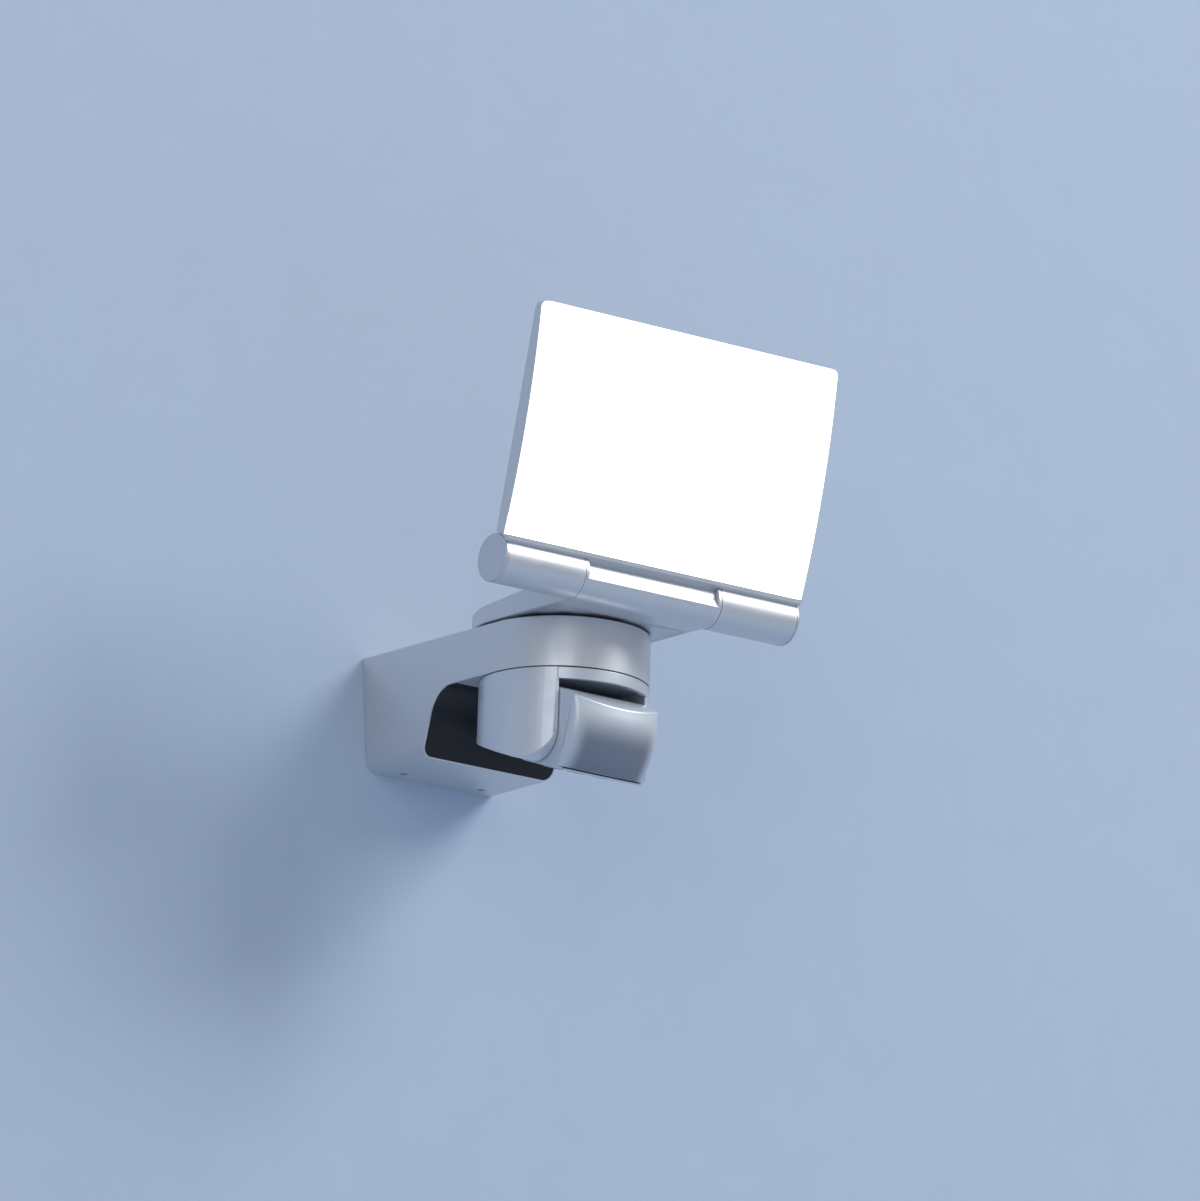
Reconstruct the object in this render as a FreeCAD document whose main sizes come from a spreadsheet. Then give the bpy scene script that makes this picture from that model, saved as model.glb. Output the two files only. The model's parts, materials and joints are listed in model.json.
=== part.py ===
"""Wall-mounted motion sensor floodlight, in millimetres.

The wall lies on the plane Y = 0 and the light stands out along -Y. Z points up, and the origin is the
middle of the wall plate's back. The photographed setting of every joint is the rest setting.
"""
import FreeCAD, Part
import math
import os
import re
import Sketcher

SIZES = {
    # wall bracket: a box on the wall and an arm with a round nose
    "arm_top": 28.6,
    "arm_height": 25.3,
    "box_height": 57.2,
    "pan_reach": 107.5,
    "nose_radius": 42.0,
    "wall_half_top": 44.85,
    "wall_half_low": 39.8,
    "skin": 2.6,
    "edge_round": 6.0,
    # recess under the arm and its black cover
    "low_reach": 45.6,
    "slant": 23.0,
    "recess_radius": 18.0,
    "cover_thick": 2.4,
    "cover_lip": 0.8,
    "cover_run": 4.0,
    # clearances
    "seam_gap": 0.6,
    "fit_gap": 0.3,
    "run_gap": 0.05,
    # wall plate and what stands on it
    "plate_thick": 3.0,
    "plate_side": 0.8,
    "plate_gap": 2.0,
    "plate_corner": 5.0,
    "screw_spacing": 56.0,
    "screw_hole": 2.4,
    "slot_length": 9.0,
    "lug_reach": 13.0,
    "lug_half": 6.0,
    "lug_across": 24.0,
    "lug_thick": 6.0,
    "lug_screw": 1.6,
    "grommet_hole": 7.5,
    "cable_hole": 4.2,
    "grommet_proud": 2.0,
    "terminal_wide": 30.0,
    "terminal_deep": 13.0,
    "terminal_foot": 3.1,
    "terminal_clear": 2.8,
    "terminal_way": 2.0,
    # driver board in the arm
    "board_thick": 1.6,
    "board_half": 33.0,
    "board_near": 12.0,
    "board_far": 82.0,
    "board_rise": 13.0,
    "rail_wide": 3.0,
    "transformer_side": 22.0,
    "transformer_tall": 8.6,
    "capacitor_radius": 5.0,
    "capacitor_length": 18.0,
    "relay_long": 20.0,
    "relay_wide": 15.0,
    "relay_tall": 8.0,
    "part_across": 8.0,
    "part_gap": 16.5,
    "capacitor_across": 16.0,
    # pan joint on top of the nose
    "pan_gap": 1.0,
    "spigot_radius": 14.0,
    "spigot_bore": 11.0,
    "nut_wall": 3.0,
    "pan_base_thick": 2.4,
    "pan_nut_thick": 4.0,
    "spigot_proud": 0.5,
    # pan head: plate and half-round saddle
    "head_half": 42.0,
    "head_back": 7.0,
    "head_rise": 10.9,
    "head_slope": 4.336,
    "head_skin": 2.6,
    "hinge_ahead": 59.0,
    "hinge_rise": 12.3,
    "barrel_radius": 12.0,
    "saddle_wall": 2.1,
    "ear_thick": 2.0,
    "lip_inner": 2.0,
    "lip_outer": 17.0,
    "saddle_back": 10.0,
    # hinge axle through the barrel
    "axle_radius": 6.0,
    "end_wall": 2.5,
    "hinge_nut_across": 16.0,
    "hinge_nut_thick": 4.0,
    "axle_proud": 1.0,
    # lamp head: barrels and a flat panel that leans forward
    "lamp_half": 90.0,
    "cap_thick": 1.5,
    "cap_play": 0.4,
    "barrel_wall": 2.2,
    "panel_foot_out": 12.6,
    "panel_foot_up": 7.0,
    "panel_top_out": 37.4,
    "panel_top_up": 121.0,
    "panel_front_radius": 517.0,
    "panel_thick_low": 10.8,
    "panel_thick_top": 8.6,
    "panel_corner": 3.0,
    "panel_skin": 2.2,
    "panel_back": 2.5,
    "panel_sole": 8.0,
    "web_rise": 1.6,
    "diffuser_foot": 2.25,
    "diffuser_depth": 4.0,
    "diffuser_skin": 2.0,
    "rib_count": 11,
    "rib_pitch": 13.0,
    "rib_thick": 1.8,
    "rib_height": 2.0,
    "rib_low": 17.0,
    "rib_top": 8.67,
    "lamp_board_side": 8.0,
    "lamp_board_low": 17.0,
    "lamp_board_top": 9.67,
    "lamp_board_thick": 1.6,
    "chip_side": 3.5,
    "chip_thick": 0.8,
    "chip_columns": 6,
    "chip_rows": 3,
    "chip_pitch": 26.0,
    # sensor mount below the nose
    "sensor_radius": 41.8,
    "band_height": 5.8,
    "band_thick": 2.6,
    "roof_thick": 3.0,
    "cheek_gap": 26.2,
    "cheek_front": 31.3,
    "cheek_low": 41.9,
    "cheek_slope": 20.4,
    "cheek_corner": 14.3,
    "sensor_spigot": 11.0,
    "sensor_bore": 7.5,
    "sensor_nut_thick": 3.0,
    # sensor head, level when its tilt is taken off
    "tilt_ahead": 12.0,
    "tilt_drop": 21.4,
    "head_room": 1.0,
    "rest_tilt": 18.0,
    "head_wide": 25.9,
    "head_round": 19.4,
    "brow_start": 13.0,
    "brow_radius": 60.0,
    "front_reach": 37.2,
    "front_bow": 65.3,
    "front_arch": 37.8,
    "front_half": 30.0,
    "front_bands": 12,
    "lens_seam": 26.5,
    "lens_pocket_half": 13.0,
    "lens_pocket_reach": 33.0,
    "shell_skin": 2.2,
    "lid_thick": 0.9,
    "lid_slit": 0.7,
    "lid_lip": 1.0,
    "lid_back": 2.0,
    "lid_seat_run": 21.0,
    "pin_radius": 3.0,
    "pin_seat": 4.0,
    "pin_inside": 2.0,
    "sensor_board_at": 24.0,
    "sensor_board_half": 14.0,
    "board_notch": 4.0,
    "detector_radius": 4.6,
    "detector_length": 4.2,
    "dial_radius": 4.5,
    "dial_thick": 2.2,
    "dial_pitch": 14.0,
    "dial_ahead": 6.0,
    "dial_slot": 1.0,
    "dial_slot_deep": 0.8,
    "setting_deep": 16.0,
    "pot_side": 8.0,
    "pot_tall": 3.0,
}

# places worked out from the sizes above
UNDER = "(arm_top - arm_height)"
BOX_LOW = "(arm_top - box_height)"
FLOOR_TOP = "(arm_top - arm_height + skin)"
CORNER_OUT = f"(low_reach + ({UNDER} - {BOX_LOW}) * tan(slant))"
TANGENT = "(recess_radius * tan((90 - slant) / 2))"
ARC_TOP_OUT = f"({CORNER_OUT} + {TANGENT})"
HINGE_OUT = "(pan_reach + hinge_ahead)"
HINGE_UP = "(arm_top + hinge_rise)"
PLATE_UNDER = "(arm_top + pan_gap)"
EAR_OUT = "(head_half - fit_gap)"
EAR_IN = "(head_half - fit_gap - ear_thick)"
SENSOR_TOP = f"({UNDER} - seam_gap)"
BAND_LOW = f"({SENSOR_TOP} - band_height)"
TILT_OUT = "(pan_reach + tilt_ahead)"
TILT_UP = "(-tilt_drop)"
PANEL_RISE = "(panel_top_up - panel_foot_up)"
LEAN = "atan((panel_top_out - panel_foot_out) / (panel_top_up - panel_foot_up))"
PANEL_LONG = f"({PANEL_RISE} / cos({LEAN}))"
SADDLE = "(barrel_radius - saddle_wall)"
PLATE_WIDE = "(wall_half_low - skin - plate_side)"
PLATE_TOP = "(arm_top - skin - plate_gap)"
PLATE_LOW = f"({BOX_LOW} + skin + plate_gap)"
LAMP_BOARD_HIGH = f"({PANEL_LONG} - lamp_board_top)"
LAMP_BOARD_WIDE = "2 * (lamp_half - lamp_board_side)"
# a length past every piece, and how far a cutting piece runs past the face that it cuts
FAR = "240"
OVER = "2"

doc = FreeCAD.newDocument("floodlight")
sheet = doc.addObject("Spreadsheet::Sheet", "Sizes")
for row, (word, number) in enumerate(SIZES.items(), start=1):
    sheet.set(f"A{row}", word)
    sheet.set(f"B{row}", str(number))
    sheet.setAlias(f"B{row}", word)
doc.recompute()

NODES = {}


def cell(text):
    """The expression with every size's name pointing at the sheet."""
    return re.sub(r"[a-z_]{3,}", lambda m: ("Sizes." if m.group() in SIZES else "") + m.group(), str(text))


def value(text):
    return float(sheet.evalExpression(cell(text)))


def node(name, item):
    item.Label = name
    NODES[name] = item
    return item


def bind(item, **places):
    for place, text in places.items():
        item.setExpression(place.replace("__", "."), cell(text))
    return item


def body(name):
    return doc.addObject("PartDesign::Body", name)


def plane(holder, role):
    return next(part for part in holder.Origin.OriginFeatures if part.Role == role)


def sketch(holder, role, offset="0"):
    drawing = holder.newObject("Sketcher::SketchObject", holder.Name + "_sketch")
    drawing.AttachmentSupport = [(plane(holder, role), "")]
    drawing.MapMode = "FlatFace"
    bind(drawing, AttachmentOffset__Base__z=offset)
    return drawing


def limit(drawing, kind, places, text):
    """A sketch dimension whose size follows the sheet."""
    number = drawing.addConstraint(Sketcher.Constraint(kind, *places, value(text)))
    bind(drawing, **{f"Constraints[{number}]": text})


def arc(start, end, radius, turn):
    """The arc of under half a turn between two points, left-handed where turn is 1."""
    chord = end - start
    rise = math.sqrt(max(radius ** 2 - (chord.Length / 2) ** 2, 0.0))
    centre = (start + end) / 2 + FreeCAD.Vector(-chord.y, chord.x, 0) * (turn * rise / chord.Length)
    circle = Part.Circle(centre, FreeCAD.Vector(0, 0, 1), radius)
    ends = [math.atan2(point.y - centre.y, point.x - centre.x) for point in (start, end)]
    if turn < 0:
        ends.reverse()
    if ends[1] < ends[0]:
        ends[1] += 2 * math.pi
    return Part.ArcOfCircle(circle, *ends)


def outline(drawing, steps):
    """A closed outline. A step is (x, y), or (x, y, radius, turn) where an arc leads to it."""
    points = [FreeCAD.Vector(value(step[0]), value(step[1]), 0) for step in steps]
    first = drawing.GeometryCount
    tails = []
    for number, step in enumerate(steps):
        start, end = points[number - 1], points[number]
        if len(step) == 2:
            drawing.addGeometry(Part.LineSegment(start, end), False)
            tails.append((1, 2))
        else:
            drawing.addGeometry(arc(start, end, value(step[2]), step[3]), False)
            tails.append((1, 2) if step[3] > 0 else (2, 1))
    for number, step in enumerate(steps):
        before = number - 1 if number else len(steps) - 1
        drawing.addConstraint(Sketcher.Constraint("Coincident", first + before, tails[before][1],
                                                  first + number, tails[number][0]))
        place = (-1, 1, first + number, tails[number][1])
        limit(drawing, "DistanceX", place, step[0])
        limit(drawing, "DistanceY", place, step[1])
        if len(step) == 4:
            limit(drawing, "Radius", (first + number,), step[2])


def pad(holder, drawing, length, both_ways=False):
    block = holder.newObject("PartDesign::Pad", holder.Name + "_pad")
    block.Profile = drawing
    block.Midplane = both_ways
    bind(block, Length=length)
    return block


def prism(name, role, steps, length, offset="0", both_ways=True):
    """A body padded from one outline."""
    holder = body(name)
    drawing = sketch(holder, role, offset)
    outline(drawing, steps)
    pad(holder, drawing, length, both_ways)
    return holder


def side_prism(name, steps, width):
    """A side profile, given as (out from the wall, up), padded to a width across the middle plane."""
    turned = [(f"-({step[0]})", step[1]) if len(step) == 2 else (f"-({step[0]})", step[1], step[2], -step[3])
              for step in steps]
    return prism(name, "YZ_Plane", turned, width)


def placed(item, x, y, z, along):
    """The item's own upright axis laid along +X, +Z or towards the wall's front, -Y, from a point."""
    turns = {"x": ((0, 1, 0), 90), "y": ((1, 0, 0), 90), "z": ((0, 0, 1), 0)}
    axis, angle = turns[along]
    item.Placement.Rotation = FreeCAD.Rotation(FreeCAD.Vector(*axis), angle)
    return bind(item, Placement__Base__x=x, Placement__Base__y=y, Placement__Base__z=z)


def rod(name, radius, length, x="0", y="0", z="0", along="z"):
    item = doc.addObject("Part::Cylinder", name)
    return placed(bind(item, Radius=radius, Height=length), x, y, z, along)


def turned(name, steps, x="0", y="0", z="0", along="z"):
    """A body turned about its own axis from an outline of (radius, height) steps."""
    holder = body(name)
    drawing = sketch(holder, "XZ_Plane")
    outline(drawing, steps)
    spin = holder.newObject("PartDesign::Revolution", name + "_spin")
    spin.Profile = drawing
    spin.ReferenceAxis = (drawing, ["V_Axis"])
    spin.Angle = 360
    return placed(holder, x, y, z, along)


def hexagon(name, across, length, x="0", y="0", z="0", along="z"):
    item = doc.addObject("Part::Prism", name)
    item.Polygon = 6
    return placed(bind(item, Circumradius=f"({across}) / 2 / cos(30)", Height=length), x, y, z, along)


def block(name, wide, deep, tall, x="0", y="0", z="0"):
    """A box with its middle at x, its wall side at y and its foot at z."""
    item = doc.addObject("Part::Box", name)
    return bind(item, Length=wide, Width=deep, Height=tall, Placement__Base__x=f"{x} - ({wide}) / 2",
                Placement__Base__y=f"{y} - ({deep})", Placement__Base__z=z)


def fuse(name, *parts):
    item = doc.addObject("Part::MultiFuse", name)
    item.Shapes = list(parts)
    item.Refine = True
    return item


def cut(name, base, *tools):
    item = doc.addObject("Part::Cut", name)
    item.Base = base
    item.Tool = tools[0] if len(tools) == 1 else fuse(name + "_tools", *tools)
    item.Refine = True
    return item


def common(name, first, second):
    item = doc.addObject("Part::MultiCommon", name)
    item.Shapes = [first, second]
    item.Refine = True
    return item


def group(name, parts):
    """Separate like solids kept as one node."""
    item = doc.addObject("Part::Compound", name)
    item.Links = list(parts)
    return item


def edges(item, test):
    """Names of the edges whose two ends pass the test."""
    doc.recompute()
    shape = item.Shape
    return [f"Edge{number}" for number, edge in enumerate(shape.Edges, start=1)
            if len(edge.Vertexes) == 2 and test(*[corner.Point for corner in edge.Vertexes])]


def rounded(name, item, radius, test):
    """The item with the edges that pass the test rounded."""
    chosen = edges(item, test)
    holder = doc.addObject("Part::Fillet", name)
    holder.Base = item
    holder.Edges = [(int(edge[4:]), value(radius), value(radius)) for edge in chosen]
    return holder


def arm_block(name, inset, low, high, back="0"):
    """The bracket between two heights, drawn in by an inset: its round-nosed plan cut to its front view."""
    half = f"(nose_radius - ({inset}))"
    taper = "asin((wall_half_top - nose_radius) / pan_reach)"
    wall_half = f"(wall_half_top - ({inset}))"
    side = f"({half} * cos({taper}))"
    meet = f"(pan_reach - {half} * sin({taper}))"
    plan = prism(name + "_plan", "XY_Plane",
                 [(f"-{wall_half}", f"-({back})"), (f"-{side}", f"-{meet}"),
                  ("0", f"-(pan_reach + {half})", half, 1), (side, f"-{meet}", half, 1),
                  (wall_half, f"-({back})")], f"({high}) - ({low})", offset=low, both_ways=False)
    draft = "atan((wall_half_top - wall_half_low) / box_height)"
    corner = f"(edge_round - ({inset}))"
    run = f"({corner} * tan((90 deg - {draft}) / 2))"
    foot = f"({BOX_LOW} + ({inset}))"
    low_half = f"(wall_half_low - ({inset}))"
    top = f"(wall_half_top - ({inset}) + {OVER} * tan({draft}))"
    front = prism(name + "_front", "XZ_Plane",
                  [(f"({low_half} - {run})", foot),
                   (f"({low_half} + {run} * sin({draft}))", f"({foot} + {run} * cos({draft}))", corner, 1),
                   (top, f"arm_top + {OVER}"), (f"-{top}", f"arm_top + {OVER}"),
                   (f"-({low_half} + {run} * sin({draft}))", f"({foot} + {run} * cos({draft}))"),
                   (f"-({low_half} - {run})", foot, corner, 1)], f"2 * {FAR}")
    return common(name, plan, front)


def recess_line(shift):
    """The recess's side line, moved into the bracket by a shift: foot, arc and top run."""
    foot = f"(low_reach - ({shift}) / cos(slant) - {OVER} * tan(slant))"
    low_out = f"({CORNER_OUT} - {TANGENT} * sin(slant) - ({shift}) * cos(slant))"
    low_up = f"({UNDER} - {TANGENT} * cos(slant) + ({shift}) * sin(slant))"
    return [(foot, f"({BOX_LOW} - {OVER})"), (low_out, low_up),
            (ARC_TOP_OUT, f"({UNDER} + ({shift}))", f"(recess_radius + ({shift}))", -1)]


def make_recess(name):
    return side_prism(name, recess_line("0") + [(FAR, UNDER), (FAR, f"({BOX_LOW} - {OVER})")], FAR)


def make_band(name, gap):
    """The skin behind the recess's side line, as thick as the cover."""
    foot, bend, _ = recess_line("0")
    thick = f"(cover_thick + ({gap}))"
    end = f"({ARC_TOP_OUT} + cover_run + ({gap}))"
    face = [(end, f"({UNDER} + {thick})"), (end, UNDER), (ARC_TOP_OUT, UNDER),
            bend + ("recess_radius", 1), foot]
    return side_prism(name, recess_line(thick) + face, FAR)


def make_housing():
    outer = arm_block("housing_outer", "0", BOX_LOW, "arm_top")
    inner = arm_block("housing_inner", "skin", BOX_LOW, "(arm_top - skin)", back="-1")
    shell = cut("housing_shell", outer, inner, make_recess("housing_recess"))
    floor_far = f"({ARC_TOP_OUT} + cover_run + fit_gap / 2)"
    floor_plate = common("housing_floor", arm_block("floor_block", "skin / 2", UNDER, FLOOR_TOP),
                         block("floor_limit", FAR, FAR, FAR, y=f"-{floor_far}", z=f"-{FAR} / 2"))
    parts = [shell, floor_plate]
    for side in (-1, 1):
        parts.append(block("board_rail", "rail_wide", "board_far - board_near - 2 * rail_wide",
                           "arm_top - skin / 2 - board_rise - board_thick",
                           x=f"{side} * (board_half - rail_wide)", y="-(board_near + rail_wide)",
                           z="board_rise + board_thick"))
    rim = common("housing_rim", arm_block("rim_block", "cover_lip", BOX_LOW, "arm_top"),
                 make_band("rim_band", "fit_gap / 2"))
    tools = [rim, rod("pan_hole", "spigot_radius + run_gap", FAR, y="-pan_reach", z="board_rise"),
             rod("sensor_hole", "sensor_spigot + run_gap", f"skin + 2 * {OVER}", y="-pan_reach",
                 z=f"{UNDER} - {OVER}")]
    for side in (-1, 1):
        tools.append(rod("lug_hole", "lug_screw + fit_gap", f"skin + {OVER}", x=f"{side} * lug_across",
                         y="-(plate_thick + lug_reach / 2)", z=f"{BOX_LOW} - {OVER} / 2"))
    node("housing", cut("housing_cut", fuse("housing_body", *parts), *tools))


def make_recess_cover():
    skin_block = arm_block("cover_block", "cover_lip + fit_gap / 2", BOX_LOW, "arm_top")
    sheet_band = common("cover_skin", skin_block, make_band("cover_band", "0"))
    sweep = rod("cover_relief", "sensor_radius + seam_gap", f"{UNDER} + {FAR}", y="-pan_reach", z=f"-{FAR}")
    node("recess_cover", cut("recess_cover_cut", sheet_band, sweep))


def make_wall_plate():
    side = f"({PLATE_WIDE} - plate_corner)"
    top, low = f"({PLATE_TOP} - plate_corner)", f"({PLATE_LOW} + plate_corner)"
    steps = [(f"-{side}", PLATE_LOW, "plate_corner", 1), (side, PLATE_LOW),
             (PLATE_WIDE, low, "plate_corner", 1), (PLATE_WIDE, top),
             (side, PLATE_TOP, "plate_corner", 1), (f"-{side}", PLATE_TOP),
             (f"-{PLATE_WIDE}", top, "plate_corner", 1), (f"-{PLATE_WIDE}", low)]
    parts = [prism("plate", "XZ_Plane", steps, "plate_thick", both_ways=False)]
    through = f"plate_thick + 2 * {OVER}"
    tools = [rod("grommet_way", "grommet_hole", through, y=OVER, along="y")]
    for side in (-1, 1):
        parts.append(block("lug", "2 * lug_half", "lug_reach + plate_thick / 2", "lug_thick",
                           x=f"{side} * lug_across", y="-plate_thick / 2", z=f"({BOX_LOW} + skin + fit_gap)"))
        tools.append(block("slot_middle", "slot_length - 2 * screw_hole", through, "2 * screw_hole",
                           x=f"{side} * screw_spacing / 2", y=OVER, z="-screw_hole"))
        for end in (-1, 1):
            x = f"({side} * screw_spacing / 2 + {end} * (slot_length / 2 - screw_hole))"
            tools.append(rod("slot_end", "screw_hole", through, x=x, y=OVER, along="y"))
    node("wall_plate", cut("wall_plate_cut", fuse("wall_plate_body", *parts), *tools))
    sleeve, length = "(grommet_hole - run_gap)", "plate_thick + grommet_proud"
    node("cable_grommet", turned("grommet", [("cable_hole", "0"), (sleeve, "0"), (sleeve, length),
                                             ("cable_hole", length)], along="y"))


def make_terminals():
    foot = f"({BOX_LOW} + skin + terminal_foot)"
    tall = f"(-(grommet_hole + terminal_clear) - {foot})"
    base = block("terminal_base", "terminal_wide", "terminal_deep", tall, y="-plate_thick", z=foot)
    ways = [block("wire_way", "terminal_way", "terminal_deep / 2", tall, x=f"{way} * terminal_wide / 3",
                  y="-(plate_thick + terminal_deep / 4)", z=f"{foot} + {tall} / 2") for way in (-1, 0, 1)]
    node("terminal_block", cut("terminal_block_cut", base, *ways))


def make_driver():
    top = "(board_rise + board_thick)"
    node("driver_board", block("driver_plate", "2 * board_half", "board_far - board_near", "board_thick",
                               y="-board_near", z="board_rise"))
    core = block("transformer_core", "transformer_side", "transformer_side / 2", "transformer_tall",
                 x="-part_across", y="-(board_near + part_gap + transformer_side / 4)", z=top)
    coil = block("transformer_coil", "transformer_side * 0.8", "transformer_side", "transformer_tall * 0.8",
                 x="-part_across", y="-(board_near + part_gap)", z=top)
    node("transformer", fuse("transformer_body", core, coil))
    node("capacitor", rod("capacitor_can", "capacitor_radius", "capacitor_length", x="capacitor_across",
                          y="-(board_near + part_gap)", z=f"{top} + capacitor_radius", along="y"))
    node("relay", block("relay_case", "relay_wide", "relay_long", "relay_tall", x="-part_across",
                        y="-(board_near + 2 * part_gap + transformer_side / 2)", z=top))


def hinge_rod(name, radius, length):
    """A cylinder on the hinge axis, with its middle on the middle plane."""
    return rod(name, radius, length, x=f"-({length}) / 2", y=f"-{HINGE_OUT}", z=HINGE_UP, along="x")


def hinge_point(radius, angle):
    return f"({HINGE_OUT} + ({radius}) * cos({angle}))", f"({HINGE_UP} + ({radius}) * sin({angle}))"


def head_plan(name, inset, low, high, front):
    """The pan head seen from above, drawn in by an inset, between two heights."""
    half = f"({EAR_OUT} - ({inset}))"
    round_half = f"(head_half - ({inset}))"
    turn_y = f"-(pan_reach - head_back - sqrt({round_half} * {round_half} - {half} * {half}))"
    steps = [(f"-{half}", turn_y, round_half, 1), (f"-{half}", f"-({front})"), (half, f"-({front})"),
             (half, turn_y)]
    return prism(name, "XY_Plane", steps, f"({high}) - ({low})", offset=low, both_ways=False)


def roof_line(drop):
    """Ends of the pan head's roof in the side view, lowered by a drop."""
    rear = "(pan_reach - head_back - head_half - 4)"
    front = f"({HINGE_OUT} - barrel_radius - head_skin)"
    return [(place, f"(arm_top + head_rise + tan(head_slope) * ({place} - pan_reach) - ({drop}))")
            for place in (front, rear)]


def make_pan_head():
    rear = "(pan_reach - head_back - head_half - 4)"
    fall = f"({HINGE_UP} - {PLATE_UNDER})"
    meet = f"({HINGE_OUT} - sqrt(barrel_radius * barrel_radius - {fall} * {fall}))"
    steps = [(rear, PLATE_UNDER), (meet, PLATE_UNDER),
             hinge_point("barrel_radius", "-lip_outer") + ("barrel_radius", 1),
             hinge_point(SADDLE, "lip_inner"), hinge_point(SADDLE, "-90") + (SADDLE, -1),
             hinge_point(SADDLE, "180 - saddle_back") + (SADDLE, -1),
             hinge_point("barrel_radius", "180 - saddle_back"), roof_line("0")[1]]
    form = common("pan_head_form", side_prism("pan_head_side", steps, f"2 * {EAR_OUT}"),
                  head_plan("pan_head_plan", "0", "arm_top", FAR, FAR))
    roof = roof_line("head_skin")
    room = common("pan_head_room",
                  side_prism("pan_room_side", [(roof[1][0], "0"), (roof[0][0], "0")] + roof, FAR),
                  head_plan("pan_room_plan", "head_skin", "0", FAR, HINGE_OUT))
    ears = [rod("ear", "barrel_radius", "ear_thick", x=x, y=f"-{HINGE_OUT}", z=HINGE_UP, along="x")
            for x in (EAR_IN, f"-{EAR_OUT}")]
    shell = cut("pan_head_shell", form, room)
    axle_way = hinge_rod("ear_bore", "axle_radius + run_gap", FAR)
    node("pan_head", cut("pan_head_cut", fuse("pan_head_body", shell, *ears), axle_way))
    inset = "head_skin + fit_gap"
    plate = head_plan("base_plan", inset, PLATE_UNDER, f"{PLATE_UNDER} + pan_base_thick",
                      f"{HINGE_OUT} - barrel_radius - head_skin - fit_gap")
    under_roof = "(arm_top - skin - run_gap)"
    low = f"({under_roof} - pan_nut_thick - spigot_proud)"
    spigot = rod("pan_spigot", "spigot_radius", f"{PLATE_UNDER} - {low} + 1", y="-pan_reach", z=low)
    bore = rod("pan_spigot_bore", "spigot_bore", FAR, y="-pan_reach")
    node("pan_base", cut("pan_base_cut", fuse("pan_base_body", plate, spigot), bore))
    nut = hexagon("pan_nut_block", "2 * (spigot_radius + nut_wall)", "pan_nut_thick", y="-pan_reach",
                  z=f"{under_roof} - pan_nut_thick")
    nut_way = rod("pan_nut_way", "spigot_radius", FAR, y="-pan_reach")
    node("pan_nut", cut("pan_nut_cut", nut, nut_way))


def leaned(along, behind):
    """A point in the lamp panel's side view, so far along its front from the foot and so far behind it."""
    return (f"({HINGE_OUT} + panel_foot_out + ({along}) * sin({LEAN}) - ({behind}) * cos({LEAN}))",
            f"({HINGE_UP} + panel_foot_up + ({along}) * cos({LEAN}) + ({behind}) * sin({LEAN}))")


def back_depth(along, less):
    """How far the panel's back lies behind its front chord, less an amount."""
    return f"(panel_thick_low - (panel_thick_low - panel_thick_top) * ({along}) / {PANEL_LONG} - ({less}))"


def slab(name, low, high, front, rear, width):
    """A flat strip along the panel's back, between two depths in front of it."""
    steps = [leaned(low, back_depth(low, rear)), leaned(low, back_depth(low, front)),
             leaned(high, back_depth(high, front)), leaned(high, back_depth(high, rear))]
    return side_prism(name, steps, width)


def comb(name, count, pitch, wide):
    """Upright bars side by side across the middle plane."""
    bars = [block(name + "_bar", wide, FAR, FAR, x=f"({pitch}) * ({number - (count - 1) / 2})", z=HINGE_UP)
            for number in range(count)]
    return fuse(name, *bars)


def barrel_pair(name, radius, start, end):
    """Two like cylinders on the hinge axis, one on each side."""
    return [rod(name, radius, f"({end}) - ({start})", x=x, y=f"-{HINGE_OUT}", z=HINGE_UP, along="x")
            for x in (start, f"-({end})")]


def round_top_corners(name, item):
    top = value(f"{HINGE_UP} + panel_top_up - 2 * panel_corner")
    side = value("lamp_half")

    def across_the_thickness(first, second):
        at_side = abs(abs(first.x) - side) < 0.01 and abs(first.x - second.x) < 0.01
        level = abs(first.z - second.z) < abs(first.y - second.y)
        return min(first.z, second.z) > top and at_side and level

    return rounded(name, item, "panel_corner", across_the_thickness)


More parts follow.
